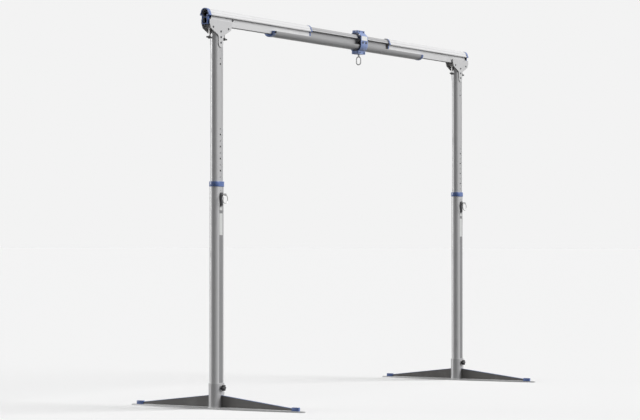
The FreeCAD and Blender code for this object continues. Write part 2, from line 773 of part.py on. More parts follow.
def trolley_wheel(label):
    """A black wheel about the Y axis, with rounded rims and a hub bore."""
    half = s.wheel_width / 2
    bore = s.axle_radius + s.running_fit
    rim = s.wheel_radius - s.edge_round
    points = [
        (bore, -half),
        (rim, -half),
        (s.wheel_radius, -half + s.edge_round),
        (s.wheel_radius, half - s.edge_round),
        (rim, half),
        (bore, half),
    ]
    return turned(label, "XY", points)


def swivel_eye(label):
    """The load eye: a head trapped between the shells, a shank, and an oval ring of round bar."""
    ring_top = ledge_height - s.eye_top_drop - s.eye_wire
    upper = ring_top - s.eye_bend
    lower = upper - s.eye_straight
    head_foot = eye_head_foot + s.loose_fit
    shank = rod("Z", s.eye_shank_radius, 0, 0, ring_top - s.eye_wire, head_foot - ring_top + s.eye_wire)
    head = rod("Z", s.eye_head_radius, 0, 0, head_foot, s.eye_head_height)
    pieces = [shank, head]
    for height, first in ((upper, 0), (lower, 180)):
        bend = doc.addObject("Part::Torus", "bend")
        bind(bend, Radius1=s.eye_bend, Radius2=s.eye_wire)
        bend.Angle3 = 180
        stand = FreeCAD.Rotation(ALONG["Y"], ALONG["Z"], ALONG["X"], "XYZ")
        spin = FreeCAD.Rotation(ALONG["X"], first)
        bend.Placement = FreeCAD.Placement(FreeCAD.Vector(), spin.multiply(stand))
        bind(bend, **{"Placement.Base.z": height})
        pieces.append(bend)
    for side in (-1, 1):
        pieces.append(rod("Z", s.eye_wire, 0, side * s.eye_bend, lower, s.eye_straight))
    return joined(label, pieces)


# The uprights and their heads, about the upright's own axis

inner_section = (s.inner_half_width, s.inner_half_depth)
outer_grow = s.tube_gap + s.outer_wall
outer_section = (s.inner_half_width + outer_grow, s.inner_half_depth + outer_grow)
socket_grow = s.socket_gap + s.socket_wall
socket_face = outer_section[1] + socket_grow
outer_top = s.pin_height + s.outer_rise
plate_top = beam_bottom + s.plate_top
plate_face = s.inner_half_depth + s.plate_thick
saddle_foot = beam_bottom - s.saddle_thick
tail_count = int(s.tail_bolt_count.value)
tail_bolts = [plate_top - s.tail_bolt_first - number * s.tail_bolt_pitch for number in range(tail_count)]


def grown(section, by):
    """A section's half sizes, larger all round."""
    return section[0] + by, section[1] + by


def slot_shape(half_width, half_depth):
    """An outline with half-round noses, counter-clockwise."""
    straight = half_width - half_depth
    return [
        (-straight, -half_depth),
        (straight, -half_depth, half_depth, 1),
        (half_width, ZERO, half_depth, 1),
        (straight, half_depth),
        (-straight, half_depth, half_depth, 1),
        (-half_width, ZERO, half_depth, 1),
    ]


def upright_shape(half_width, half_depth, flat):
    """The same outline with its front and back faces set in."""
    straight = half_width - half_depth
    face = half_depth - s.flat_recess
    return [
        (-straight, -half_depth),
        (-flat, -half_depth),
        (-flat, -face),
        (flat, -face),
        (flat, -half_depth),
        (straight, -half_depth, half_depth, 1),
        (half_width, ZERO, half_depth, 1),
        (straight, half_depth),
        (flat, half_depth),
        (flat, face),
        (-flat, face),
        (-flat, half_depth),
        (-straight, half_depth, half_depth, 1),
        (-half_width, ZERO, half_depth, 1),
    ]


def upright_inner(label):
    """The upper upright, drilled right through for the height pin and for the small holes between."""
    body = new_body(label)
    outside = upright_shape(*inner_section, s.inner_flat_half)
    inside = slot_shape(*grown(inner_section, -s.inner_wall))
    pad(body, "XY", s.inner_bottom, saddle_foot, outlines=[outside, inside])
    below, above = int(s.holes_below.value), int(s.holes_above.value)
    heights = [s.pin_height + number * s.hole_pitch for number in range(-below, above + 1)]
    heights.append(saddle_foot - s.lowest_hole_drop)
    holes = [(ZERO, height, s.hole_radius) for height in heights]
    holes += [(ZERO, height + s.small_hole_rise, s.small_hole_radius) for height in heights]
    holes += [(ZERO, height, s.bolt_radius + s.fit_gap) for height in tail_bolts]
    pocket(body, "XZ", -s.inner_half_depth, s.inner_half_depth, circles=holes)
    return body


def upright_outer(label):
    """The lower upright, which stands on the foot and lets the upper one slide inside it."""
    body = new_body(label)
    outside = upright_shape(*outer_section, s.outer_flat_half)
    inside = slot_shape(*grown(inner_section, s.tube_gap))
    pad(body, "XY", s.base_thick, outer_top, outlines=[outside, inside])
    holes = [
        (ZERO, s.pin_height, s.pin_radius + s.loose_fit),
        (ZERO, s.pin_height + s.sight_hole_rise, s.small_hole_radius),
    ]
    pocket(body, "XZ", -outer_section[1], -s.inner_half_depth, circles=holes)
    return body


def collar(label):
    """The blue collar that caps the outer upright and guides the inner one."""
    body = new_body(label)
    outside = slot_shape(*grown(outer_section, s.collar_wall))
    wide = slot_shape(*grown(outer_section, s.fit_gap))
    narrow = slot_shape(*grown(inner_section, s.slide_gap))
    pad(body, "XY", outer_top - s.collar_skirt, outer_top, outlines=[outside, wide])
    pad(body, "XY", outer_top, outer_top + s.collar_lid, outlines=[outside, narrow])
    return body


def head_plate(label, side):
    """A flanged plate that joins the upright to the saddle, on one face of the upright."""
    body = new_body(label)
    tail_centre = plate_top - s.plate_drop + s.plate_tail_half
    outline = [
        (ZERO, plate_top - s.plate_drop, s.plate_tail_half, 1),
        (s.plate_tail_half, tail_centre),
        (s.plate_tail_half, plate_top - s.plate_tail_drop, s.plate_waist_round, -1),
        (s.plate_waist_half, plate_top - s.plate_waist_drop),
        (s.plate_corner_half, plate_top - s.plate_corner_drop),
        (s.plate_half, plate_top - s.plate_side),
        (s.plate_half, plate_top),
        (-s.plate_half, plate_top),
        (-s.plate_half, plate_top - s.plate_side),
        (-s.plate_corner_half, plate_top - s.plate_corner_drop),
        (-s.plate_waist_half, plate_top - s.plate_waist_drop, s.plate_waist_round, -1),
        (-s.plate_tail_half, plate_top - s.plate_tail_drop),
        (-s.plate_tail_half, tail_centre, s.plate_tail_half, 1),
    ]
    hole = s.bolt_radius + s.fit_gap
    holes = [(ZERO, height, hole) for height in tail_bolts]
    holes += [(way * s.side_bolt_place, plate_top - s.side_bolt_drop, hole) for way in (-1, 1)]
    low, high = (-plate_face, -s.inner_half_depth) if side < 0 else (s.inner_half_depth, plate_face)
    pad(body, "XZ", low, high, outlines=[outline], circles=holes)
    return body


def head_saddle(label):
    """The channel under the end beam, between the plates, with the holes of the clamp screws."""
    body = new_body(label)
    cheek = beam_bottom + s.saddle_cheek
    section = [
        (-s.inner_half_depth, saddle_foot),
        (s.inner_half_depth, saddle_foot),
        (s.inner_half_depth, cheek),
        (s.neck_half, cheek),
        (s.neck_half, beam_bottom),
        (-s.neck_half, beam_bottom),
        (-s.neck_half, cheek),
        (-s.inner_half_depth, cheek),
    ]
    pad(body, "YZ", -s.saddle_half, s.saddle_half, outlines=[section])
    clamps = [(side * s.clamp_place, ZERO, s.clamp_radius + s.loose_fit) for side in (-1, 1)]
    pocket(body, "XY", saddle_foot, beam_bottom, circles=clamps)
    height = plate_top - s.side_bolt_drop
    bolts = [(side * s.side_bolt_place, height, s.bolt_radius + s.fit_gap) for side in (-1, 1)]
    pocket(body, "XZ", -s.inner_half_depth, -s.side_bolt_tip, circles=bolts)
    pocket(body, "XZ", s.side_bolt_tip, s.inner_half_depth, circles=bolts)
    return body


def head_bolts(label):
    """Three bolts through the tails and the upright, and four screws into the saddle's sides."""
    bolts = []
    for height in tail_bolts:
        head = (s.bolt_head_radius, s.bolt_head_height)
        bolts.append(through_bolt(0, height, plate_face, s.bolt_radius, *head))
    height = plate_top - s.side_bolt_drop
    length = plate_face - s.side_bolt_tip
    for way in (-1, 1):
        x = way * s.side_bolt_place
        for face in (-1, 1):
            shank_low = -plate_face if face < 0 else s.side_bolt_tip
            head_low = -plate_face - s.bolt_head_height if face < 0 else plate_face
            shank = rod("Y", s.bolt_radius, x, shank_low, height, length)
            head = rod("Y", s.bolt_head_radius, x, head_low, height, s.bolt_head_height)
            bolts.append(joined("screw", [shank, head]))
    return grouped(label, bolts)


def clamp_screw(label):
    """The T-handle screw, about its own axis, captive under the saddle's floor."""
    handle = saddle_foot - s.clamp_handle_drop
    tip = lip_top + s.slide_gap + s.nut_height + s.clamp_tip
    collar_foot = saddle_foot - s.slide_gap - s.clamp_collar_height
    return joined(
        label,
        [
            rod("Z", s.clamp_radius, 0, 0, handle, tip - handle),
            rod("Z", s.clamp_collar_radius, 0, 0, collar_foot, s.clamp_collar_height),
            rod("Z", s.clamp_hub_radius, 0, 0, handle - s.clamp_hub_half, 2 * s.clamp_hub_half),
            rod("X", s.clamp_handle_radius, -s.clamp_handle_half, 0, handle, 2 * s.clamp_handle_half),
        ],
    )


def clamp_nut(label):
    """The T-nut that the screw pulls down on the lips of the end beam's slot."""
    half = inner_neck - s.nut_side_gap
    foot = lip_top + s.slide_gap
    top = foot + s.nut_height
    nut = block(-s.nut_half_length, s.nut_half_length, -half, half, foot, top)
    bore = rod("Z", s.clamp_radius + s.running_fit, 0, 0, foot, s.nut_height)
    return less(label, nut, [bore])


# The foot, the height pin and their knobs, about the upright's own axis

pin_tip = s.inner_half_depth - s.flat_recess + s.pin_park_gap
pin_eye = pin_tip + s.pin_eye_place
housing_face = pin_eye - s.pin_head_half - s.pin_travel - s.pin_head_gap


def foot_base(label):
    """The base plate: a long lozenge across the beam, with bowed edges and rounded tips."""
    body = new_body(label)
    tip = s.base_half_length - s.base_tip_round
    outline = [
        (s.base_tip_half, -tip, s.base_edge_radius, 1),
        (s.base_half_width, ZERO, s.base_edge_radius, 1),
        (s.base_tip_half, tip, s.base_tip_round, 1),
        (ZERO, s.base_half_length, s.base_tip_round, 1),
        (-s.base_tip_half, tip, s.base_edge_radius, 1),
        (-s.base_half_width, ZERO, s.base_edge_radius, 1),
        (-s.base_tip_half, -tip, s.base_tip_round, 1),
        (ZERO, -s.base_half_length, s.base_tip_round, 1),
    ]
    pad(body, "XY", 0, s.base_thick, outlines=[outline])
    return body


def foot_socket(label):
    """The welded socket, with the threaded boss of the knob and a plug in its back."""
    tube = new_body(label + "_tube")
    outside = slot_shape(*grown(outer_section, socket_grow))
    inside = slot_shape(*grown(outer_section, s.socket_gap))
    pad(tube, "XY", s.base_thick, s.socket_top, outlines=[outside, inside])
    bore_start = -socket_face - s.boss_height
    boss = rod("Y", s.boss_radius, 0, bore_start, s.knob_height, s.boss_height + s.socket_wall / 2)
    back = socket_face - s.socket_wall / 2
    plug = rod("Y", s.plug_radius, 0, back, s.knob_height, s.plug_height + s.socket_wall / 2)
    bore = rod("Y", s.knob_stem + s.running_fit, 0, bore_start, s.knob_height, s.boss_height + s.socket_wall)
    return less(label, joined(label + "_solid", [tube, boss, plug]), [bore])


def slope_points(side, rise):
    """The two ends of a gusset's sloping edge, raised by an amount, inner end first."""
    inner = (side * socket_face, s.gusset_top + rise)
    outer = (side * s.gusset_reach, s.base_thick + s.gusset_tip_height + rise)
    return inner, outer


def foot_gussets(label):
    """The two upright plates, welded along the middle of the base plate."""
    plates = []
    for side in (-1, 1):
        plate = new_body("%s_%d" % (label, side + 1))
        inner, outer = slope_points(side, 0)
        outline = [inner, outer, (outer[0], s.base_thick), (inner[0], s.base_thick)]
        pad(plate, "YZ", -s.gusset_thick / 2, s.gusset_thick / 2, outlines=[outline])
        plates.append(plate)
    return grouped(label, plates)


def foot_trims(label):
    """Blue strips on the gussets' sloping edges, and blue blocks at their ends."""
    trims = []
    for side in (-1, 1):
        strip = new_body("%s_%d" % (label, side + 1))
        low, high = slope_points(side, 0), slope_points(side, s.edge_trim_thick)
        outline = [low[0], low[1], high[1], high[0]]
        pad(strip, "YZ", -s.edge_trim_half, s.edge_trim_half, outlines=[outline])
        trims.append(strip)
        near, far = s.gusset_reach, s.gusset_reach + s.tip_block_length
        ends = (near, far) if side > 0 else (-far, -near)
        top = s.base_thick + s.tip_block_height
        trims.append(block(-s.tip_block_half, s.tip_block_half, *ends, s.base_thick, top))
    return grouped(label, trims)


def foot_knob(label):
    """The black lobed knob whose stem holds the upright in its socket."""
    tip = outer_section[1] - s.flat_recess + s.knob_tip_gap
    start = socket_face + s.knob_stand_off
    pieces = [
        rod("Y", s.knob_stem, 0, -start, s.knob_height, start - tip),
        rod("Y", s.knob_radius, 0, -start - s.knob_thick, s.knob_height, s.knob_thick),
    ]
    count = int(s.knob_lobes.value)
    for number in range(count):
        angle = 2 * math.pi * number / count
        x = s.knob_radius * math.cos(angle)
        z = s.knob_height + s.knob_radius * math.sin(angle)
        pieces.append(rod("Y", s.knob_lobe, x, -start - s.knob_thick, z, s.knob_thick))
    return joined(label, pieces)


def lock_housing(label):
    """The housing of the height pin on the front face, and the plate behind that backs its screws."""
    front = new_body(label + "_front")
    face = outer_section[1] - s.flat_recess
    top = s.pin_height + s.housing_rise
    foot = s.pin_height - s.housing_drop
    outline = [
        (-s.housing_neck_half, foot),
        (s.housing_neck_half, foot),
        (s.housing_half, foot + s.housing_shoulder),
        (s.housing_half, top - s.housing_shoulder / 2),
        (s.housing_neck_half, top),
        (-s.housing_neck_half, top),
        (-s.housing_half, top - s.housing_shoulder / 2),
        (-s.housing_half, foot + s.housing_shoulder),
    ]
    bore = (ZERO, s.pin_height, s.pin_radius + s.running_fit)
    pad(front, "XZ", -housing_face, -face, outlines=[outline], circles=[bore])
    low, high = s.pin_height - s.back_plate_low, s.pin_height + s.back_plate_high
    far = outer_section[1] + s.back_plate_depth
    back = block(-s.back_plate_half, s.back_plate_half, face, far, low, high)
    return grouped(label, [front, back])


def lock_pin(label):
    """The height pin, parked. Its tip is at Y = 0 and it runs along -Y to the eye for its ring."""
    neck = s.pin_eye_place - s.pin_head_half
    end = s.pin_eye_place + s.pin_head_half
    points = [
        (ZERO, ZERO),
        (ZERO, -end),
        (s.pin_head_radius - s.edge_round, -end),
        (s.pin_head_radius, -end + s.edge_round),
        (s.pin_head_radius, -neck),
        (s.pin_radius, -neck),
        (s.pin_radius, -s.edge_round),
        (s.pin_radius - s.edge_round, ZERO),
    ]
    body = turned(label, "XY", points)
    eye = (-s.pin_eye_place, ZERO, s.pin_eye_radius)
    pocket(body, "YZ", -s.pin_head_radius, s.pin_head_radius, circles=[eye])
    return body


def pull_ring(label):
    """The round steel ring that hangs in the pin's eye, about the eye."""
    ring = doc.addObject("Part::Torus", label)
    bind(ring, Radius1=s.ring_radius, Radius2=s.ring_wire)
    ring.Label = label
    ring.Placement = FreeCAD.Placement(FreeCAD.Vector(), FreeCAD.Rotation(ALONG["Z"], ALONG["Y"]))
    return ring


# Every sub-part, made and put in its place

parts = []


def keep(thing, x=0, y=0, z=0, turn=0):
    parts.append(place(thing, x, y, z, turn))


keep(centre_beam())
keep(trolley_shell("trolley_front"), s.trolley_place)
keep(trolley_shell("trolley_rear"), s.trolley_place, turn=180)
keep(trolley_bolts("trolley_bolts"), s.trolley_place)
keep(trolley_axles("trolley_axles"), s.trolley_place)
keep(swivel_eye("swivel_eye"), s.trolley_place)
for front, row in ((-1, "front"), (1, "rear")):
    for way, column in ((-1, "left"), (1, "right")):
        wheel_x = s.trolley_place + way * s.wheel_place
        wheel_y = front * (s.wheel_inner + s.wheel_width / 2)
        keep(trolley_wheel("trolley_wheel_%s_%s" % (row, column)), wheel_x, wheel_y, wheel_height)

for side, name, overhang in ((-1, "left", s.overhang_left), (1, "right", s.overhang_right)):
    upright = side * s.upright_half_span
    outer_end = side * (s.upright_half_span + overhang)
    facing = 0 if side < 0 else 180
    for make in (end_beam, end_cap, beam_trim, stop_bolt):
        keep(make(make.__name__ + "_" + name), outer_end, turn=facing)
    block_end = side * (s.centre_length / 2 + s.sleeve_end_length)
    screw_x = side * (s.centre_length + s.sleeve_end_length) / 2
    screw_z = ledge_height - s.span_screw_drop
    keep(sleeve_end("sleeve_end_" + name), block_end, turn=facing)
    keep(span_screw("span_screw_" + name), screw_x, side * (s.neck_half + s.slide_gap), screw_z, facing)
    keep(head_plate("head_plate_front_" + name, -1), upright)
    keep(head_plate("head_plate_rear_" + name, 1), upright)
    for make in (head_saddle, head_bolts, upright_inner, upright_outer, collar, foot_base, foot_socket):
        keep(make(make.__name__ + "_" + name), upright)
    for make in (foot_gussets, foot_trims, foot_knob, lock_housing):
        keep(make(make.__name__ + "_" + name), upright)
    for way, place_name in ((side, "outer"), (-side, "inner")):
        clamp_x = upright + way * s.clamp_place
        keep(clamp_screw("clamp_screw_%s_%s" % (name, place_name)), clamp_x)
        keep(clamp_nut("clamp_nut_%s_%s" % (name, place_name)), clamp_x)
    keep(lock_pin("lock_pin_" + name), upright, -pin_tip, s.pin_height)
    ring = pull_ring("pull_ring_" + name)
    parts.append(ring)
    bind(ring, **{"Placement.Base.x": upright, "Placement.Base.y": -pin_eye})
    bind(ring, **{"Placement.Base.z": s.pin_height - s.ring_radius})

doc.recompute()

for thing in doc.Objects:
    if "Invalid" in thing.State or "Error" in thing.State:
        raise RuntimeError("%s did not build: %s" % (thing.Label, thing.State))
    if thing.TypeId == "PartDesign::Pocket" and thing.Shape.Volume >= thing.BaseFeature.Shape.Volume:
        raise RuntimeError("%s cuts nothing" % thing.Label)
for thing in parts:
    if thing.Shape.isNull() or not thing.Shape.isValid():
        raise RuntimeError("%s has no valid shape" % thing.Label)

os.makedirs("parts", exist_ok=True)
for thing in parts:
    thing.Shape.exportStep("parts/%s.step" % thing.Label)
print("%d sub-parts" % len(parts))
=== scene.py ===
"""A portable aluminium gantry crane: two feet, two telescopic uprights, a telescopic beam and its trolley.

The sections follow the crane as it is put together, from the feet up. Lengths are metres, X runs along the
beam, Z is up, and the camera stands to the left, in front of the crane (-Y).
"""
import json
import math

import bmesh
import bpy
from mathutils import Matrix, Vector


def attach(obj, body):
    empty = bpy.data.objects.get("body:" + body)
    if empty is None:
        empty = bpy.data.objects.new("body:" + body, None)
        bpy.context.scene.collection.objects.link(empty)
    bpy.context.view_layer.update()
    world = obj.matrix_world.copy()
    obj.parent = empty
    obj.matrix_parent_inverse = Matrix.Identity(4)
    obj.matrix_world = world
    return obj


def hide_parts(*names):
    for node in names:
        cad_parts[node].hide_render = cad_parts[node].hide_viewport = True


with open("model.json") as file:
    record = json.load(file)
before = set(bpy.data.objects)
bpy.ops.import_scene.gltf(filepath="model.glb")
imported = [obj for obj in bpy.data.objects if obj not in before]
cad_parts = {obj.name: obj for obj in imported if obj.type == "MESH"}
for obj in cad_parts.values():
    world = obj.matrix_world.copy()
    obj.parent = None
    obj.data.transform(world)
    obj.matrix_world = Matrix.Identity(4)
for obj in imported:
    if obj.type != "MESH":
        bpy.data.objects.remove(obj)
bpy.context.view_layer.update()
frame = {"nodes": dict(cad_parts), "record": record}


# The studio
# A plain pale floor that runs to the horizon, a pale surround, and three large soft lamps: one overhead, one
# behind on the left for the uprights' rims, and one in front for their faces.

BACKGROUND = 0.896
FLOOR_TONE = 0.955
AMBIENT = 0.08
FLOOR_BOUNCE = 0.04
FLOOR_REACH = 400


class Wire:
    """An output that can stand in a sum, so that a finish reads like arithmetic."""

    def __init__(self, bench, socket):
        self.bench = bench
        self.socket = socket

    def maths(self, operation, first, second):
        return self.bench.node("ShaderNodeMath", {"operation": operation}, {0: first, 1: second})

    def __add__(self, other):
        return self.maths("ADD", self, other)

    def __sub__(self, other):
        return self.maths("SUBTRACT", self, other)

    def __rsub__(self, other):
        return self.maths("SUBTRACT", other, self)

    def __mul__(self, other):
        return self.maths("MULTIPLY", self, other)

    __radd__ = __add__
    __rmul__ = __mul__

    def also(self, output):
        """Another output of the same node."""
        return Wire(self.bench, self.socket.node.outputs[output])

    def larger(self, other):
        return self.maths("MAXIMUM", self, other)

    def between(self, low, high):
        """0 below low, 1 above high, and a smooth rise from one to the other."""
        ends = {"From Min": low, "From Max": high, "Value": self}
        return self.bench.node("ShaderNodeMapRange", {"interpolation_type": "SMOOTHSTEP"}, ends)


class Bench:
    """Where a tree of nodes is put together."""

    def __init__(self, tree):
        self.tree = tree
        tree.nodes.clear()

    def node(self, kind, settings=None, inputs=None, output=0):
        """Adds one node: its settings first, then the values or wires of its sockets."""
        made = self.tree.nodes.new(kind)
        for key, value in (settings or {}).items():
            setattr(made, key, value)
        for key, value in (inputs or {}).items():
            if isinstance(value, Wire):
                self.tree.links.new(value.socket, made.inputs[key])
            else:
                made.inputs[key].default_value = value
        return Wire(self, made.outputs[output] if len(made.outputs) else None)

    def blend(self, share, first, second):
        """A colour from first to second, as the share goes from 0 to 1."""
        settings = {"data_type": "RGBA"}
        return self.node("ShaderNodeMix", settings, {0: share, 6: first, 7: second}, output=2)


def grey(tone):
    return (tone, tone, tone, 1)


def pale_to_camera(bench, tone, tone_for_light, kind, finish):
    """Shows one tone to the camera and to mirrored or passing rays, and another to diffuse light."""
    seen = bench.node("ShaderNodeLightPath")
    mirrored, through = seen.also(3), seen.also(6)
    share = seen.larger(mirrored).larger(through)
    colour = bench.blend(share, grey(tone_for_light), grey(tone))
    shader = bench.node(kind, {}, {"Color": colour})
    bench.node(finish, {}, {"Surface": shader})


surround = bpy.data.worlds.new("pale_surround")
surround.use_nodes = True
bpy.context.scene.world = surround
surround_bench = Bench(surround.node_tree)
pale_to_camera(surround_bench, BACKGROUND, AMBIENT, "ShaderNodeBackground", "ShaderNodeOutputWorld")

floor_paint = bpy.data.materials.new("studio_floor")
floor_paint.use_nodes = True
floor_bench = Bench(floor_paint.node_tree)
pale_to_camera(floor_bench, FLOOR_TONE, FLOOR_BOUNCE, "ShaderNodeBsdfDiffuse", "ShaderNodeOutputMaterial")
floor_sheet = bpy.data.meshes.new("floor")
floor_corners = [(x * FLOOR_REACH, y * FLOOR_REACH, 0) for x, y in ((-1, -1), (1, -1), (1, 1), (-1, 1))]
floor_sheet.from_pydata(floor_corners, [], [(0, 1, 2, 3)])
floor_sheet.materials.append(floor_paint)
floor = bpy.data.objects.new("floor", floor_sheet)
bpy.context.scene.collection.objects.link(floor)


def lamp(name, shines_along, strength, spread):
    """A large soft lamp far away."""
    light = bpy.data.lights.new(name, "SUN")
    light.energy = strength
    light.angle = math.radians(spread)
    holder = bpy.data.objects.new(name, light)
    holder.rotation_mode = "QUATERNION"
    holder.rotation_quaternion = Vector(shines_along).to_track_quat("-Z", "Y")
    bpy.context.scene.collection.objects.link(holder)


lamp("overhead", (0.05, 0.2, -1), 0.6, 30)
lamp("behind_left", (0.45, -1, -0.15), 1.9, 24)
lamp("front", (-0.55, 1, -0.75), 3.4, 40)

lens = bpy.data.cameras.new("camera")
lens.lens = 119.55
lens.sensor_width = 36
camera = bpy.data.objects.new("camera", lens)
camera.location = (-12.69258, -7.320773, 1.02891)
heading, lift = 0.5365466, 0.01566312
ahead = (math.cos(heading) * math.cos(lift), math.sin(heading) * math.cos(lift), math.sin(lift))
camera.rotation_mode = "QUATERNION"
camera.rotation_quaternion = Vector(ahead).to_track_quat("-Z", "Y")
bpy.context.scene.collection.objects.link(camera)
bpy.context.scene.camera = camera
bpy.context.scene.view_settings.view_transform = "Standard"


# The feet
# Each foot is a lozenge of 8 mm aluminium plate with two upright gussets and a socket of thick tube welded to
# it. The gussets' sloping edges wear blue strips, and blue blocks close their ends.

SIDES = (("left", -1.643), ("right", 1.643))
SOCKET_FACE = 0.0376
GUSSET_REACH = 0.553
BASE_TOP = 0.008
SOCKET_NOSE = 0.0382
SOCKET_STRAIGHT = 0.021
GUSSET_SEAM = 0.0055
SEAM_END = 0.004
SEAM_HEIGHT = BASE_TOP + 0.0008
SEAM_STEPS = 48
WELD_WIDTH = 0.0055
WELD_PITCH = 0.0028
ALONG_X, ALONG_Y, ALONG_Z = (0, 1, 1), (1, 0, 1), (1, 1, 0)
NO_GRAIN = (1, 1, 1)

carrier = {node: body for body, nodes in frame["record"]["behaviour"]["bodies"].items() for node in nodes}


def new_finish(name):
    """An empty material and the bench for its nodes."""
    material = bpy.data.materials.new(name)
    material.use_nodes = True
    return material, Bench(material.node_tree)


def stretched_noise(bench, stretch, detail):
    """Noise that is drawn out along the axes with the small numbers, in cycles a metre."""
    where = bench.node("ShaderNodeTexCoord", {}, {}, output=3)
    scaled = bench.node("ShaderNodeMapping", {}, {"Vector": where, "Scale": stretch})
    return bench.node("ShaderNodeTexNoise", {}, {"Vector": scaled, "Scale": 1, "Detail": detail})


def worn_edges(bench, reach):
    """1 on sharp edges and 0 on open faces."""
    eased = bench.node("ShaderNodeBevel", {"samples": 4}, {"Radius": reach})
    true = bench.node("ShaderNodeNewGeometry", {}, {}, output=1)
    sameness = bench.node("ShaderNodeVectorMath", {"operation": "DOT_PRODUCT"}, {0: eased, 1: true}, output=1)
    return (1 - sameness).between(0.004, 0.09)


def surface(bench, colour, roughness, metallic, height, relief, **plain):
    """The shader itself, with its bump."""
    bump = bench.node("ShaderNodeBump", {}, {"Strength": 1, "Distance": relief, "Height": height})
    inputs = {"Base Color": colour, "Roughness": roughness, "Metallic": metallic, "Normal": bump}
    inputs.update(plain)
    shader = bench.node("ShaderNodeBsdfPrincipled", {}, inputs)
    bench.node("ShaderNodeOutputMaterial", {}, {"Surface": shader})


def aluminium(name, light, dark, grain, metallic, rough):
    """Aluminium with its grain drawn out along one axis, broad streaks, handling marks and rubbed edges."""
    material, bench = new_finish(name)
    fine = stretched_noise(bench, [420 if way else 5 for way in grain], 3)
    broad = stretched_noise(bench, [55 if way else 1.2 for way in grain], 2)
    marks = stretched_noise(bench, (9, 9, 9), 6).between(0.52, 0.72)
    edge = worn_edges(bench, 0.0015)
    streak = bench.blend(0.35 * fine + 0.65 * broad, dark, light)
    handled = bench.blend(0.18 * marks, streak, grey(0.3))
    colour = bench.blend(0.45 * edge, handled, grey(0.8))
    surface(bench, colour, 0.14 * fine + 0.12 * marks + rough - 0.08 * edge, metallic, fine, 0.00006)
    return material


plate_metal = aluminium("rolled_plate", (0.68, 0.68, 0.685, 1), (0.56, 0.56, 0.565, 1), ALONG_Y, 0.2, 0.3)
# The gussets' aluminium is set near black: painted shade of their side faces, a shaded copy of the plate's
# metal.
gusset_shade_metal = aluminium("gusset_painted_shade", (0.11, 0.107, 0.104, 1), (0.07, 0.068, 0.066, 1), ALONG_Y, 0.3, 0.38)
socket_metal = aluminium("thick_tube", (0.46, 0.46, 0.465, 1), (0.37, 0.37, 0.375, 1), ALONG_Z, 0.2, 0.3)


def paint(node, material):
    """Gives a CAD node its finish."""
    mesh = frame["nodes"][node].data
    mesh.materials.clear()
    mesh.materials.append(material)


def powder_coat(name, colour, deep, worn):
    """Semi-gloss powder coat: orange peel, a little pigment cloud, scuffs and rubbed edges."""
    material, bench = new_finish(name)
    peel = stretched_noise(bench, (900, 900, 900), 2)
    cloud = stretched_noise(bench, (26, 26, 26), 4)
    scuff = stretched_noise(bench, (60, 300, 300), 4).between(0.62, 0.7)
    edge = worn_edges(bench, 0.0014)
    coat = bench.blend(cloud, deep, colour)
    rubbed = bench.blend((0.7 * edge).larger(0.3 * scuff), coat, worn)
    gloss = {"Coat Weight": 0.25, "Coat Roughness": 0.2}
    surface(bench, rubbed, 0.1 * cloud + 0.34 + 0.12 * scuff, 0.0, peel, 0.00008, **gloss)
    return material


blue_coat = powder_coat("blue_coat", (0.085, 0.155, 0.4, 1), (0.05, 0.105, 0.3, 1), (0.33, 0.4, 0.6, 1))


def settle(piece, body, slot, *nodes):
    """Makes a finished piece ride on its body, and hides the CAD nodes it stands for."""
    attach(piece, body)
    if nodes:
        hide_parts(*nodes)


def plain_mesh(maker, name):
    """The evaluated piece as a plain mesh with no modifiers."""
    graph = bpy.context.evaluated_depsgraph_get()
    mesh = bpy.data.meshes.new_from_object(maker.evaluated_get(graph), depsgraph=graph)
    mesh.name = name
    piece = bpy.data.objects.new(name, mesh)
    bpy.context.scene.collection.objects.link(piece)
    source = maker.data
    bpy.data.objects.remove(maker)
    bpy.data.meshes.remove(source)
    return piece


def casting(node, radius, material, slot):
    """A merged copy of a CAD node with its sharp edges rounded, as a casting or a moulding has them."""
    work = bmesh.new()
    work.from_mesh(frame["nodes"][node].data)
    bmesh.ops.remove_doubles(work, verts=work.verts, dist=1e-6)
    bmesh.ops.dissolve_limit(work, angle_limit=math.radians(1), verts=work.verts, edges=work.edges)
    mesh = bpy.data.meshes.new(node + "_rough")
    work.to_mesh(mesh)
    work.free()
    mesh.materials.append(material)
    maker = bpy.data.objects.new(node + "_rough", mesh)
    bpy.context.scene.collection.objects.link(maker)
    edge = maker.modifiers.new("rounded", "BEVEL")
    edge.width = radius
    edge.segments = 2
    edge.limit_method = "ANGLE"
    edge.angle_limit = math.radians(40)
    piece = plain_mesh(maker, node + "_cast")
    for face in piece.data.polygons:
        face.use_smooth = True
        face.material_index = 0
    piece.data.set_sharp_from_angle(angle=math.radians(28))
    settle(piece, carrier[node], slot, node)


def modifier_inputs(modifier, values):
    """Sets a modifier's inputs by the identifiers of their sockets."""
    for item in modifier.node_group.interface.items_tree:
        if item.item_type == "SOCKET" and item.in_out == "INPUT" and item.name in values:
            modifier[item.identifier] = values[item.name]


def new_tree(name, sockets):
    """A Geometry Nodes tree with a geometry in and out, and named inputs."""
    tree = bpy.data.node_groups.new(name, "GeometryNodeTree")
    tree.interface.new_socket("Geometry", in_out="INPUT", socket_type="NodeSocketGeometry")
    for label, kind in sockets:
        tree.interface.new_socket(label, in_out="INPUT", socket_type=kind)
    tree.interface.new_socket("Geometry", in_out="OUTPUT", socket_type="NodeSocketGeometry")
    bench = Bench(tree)
    bench.node("NodeGroupInput")
    ports = {socket.name: Wire(bench, socket) for socket in tree.nodes[0].outputs}
    return tree, bench, ports


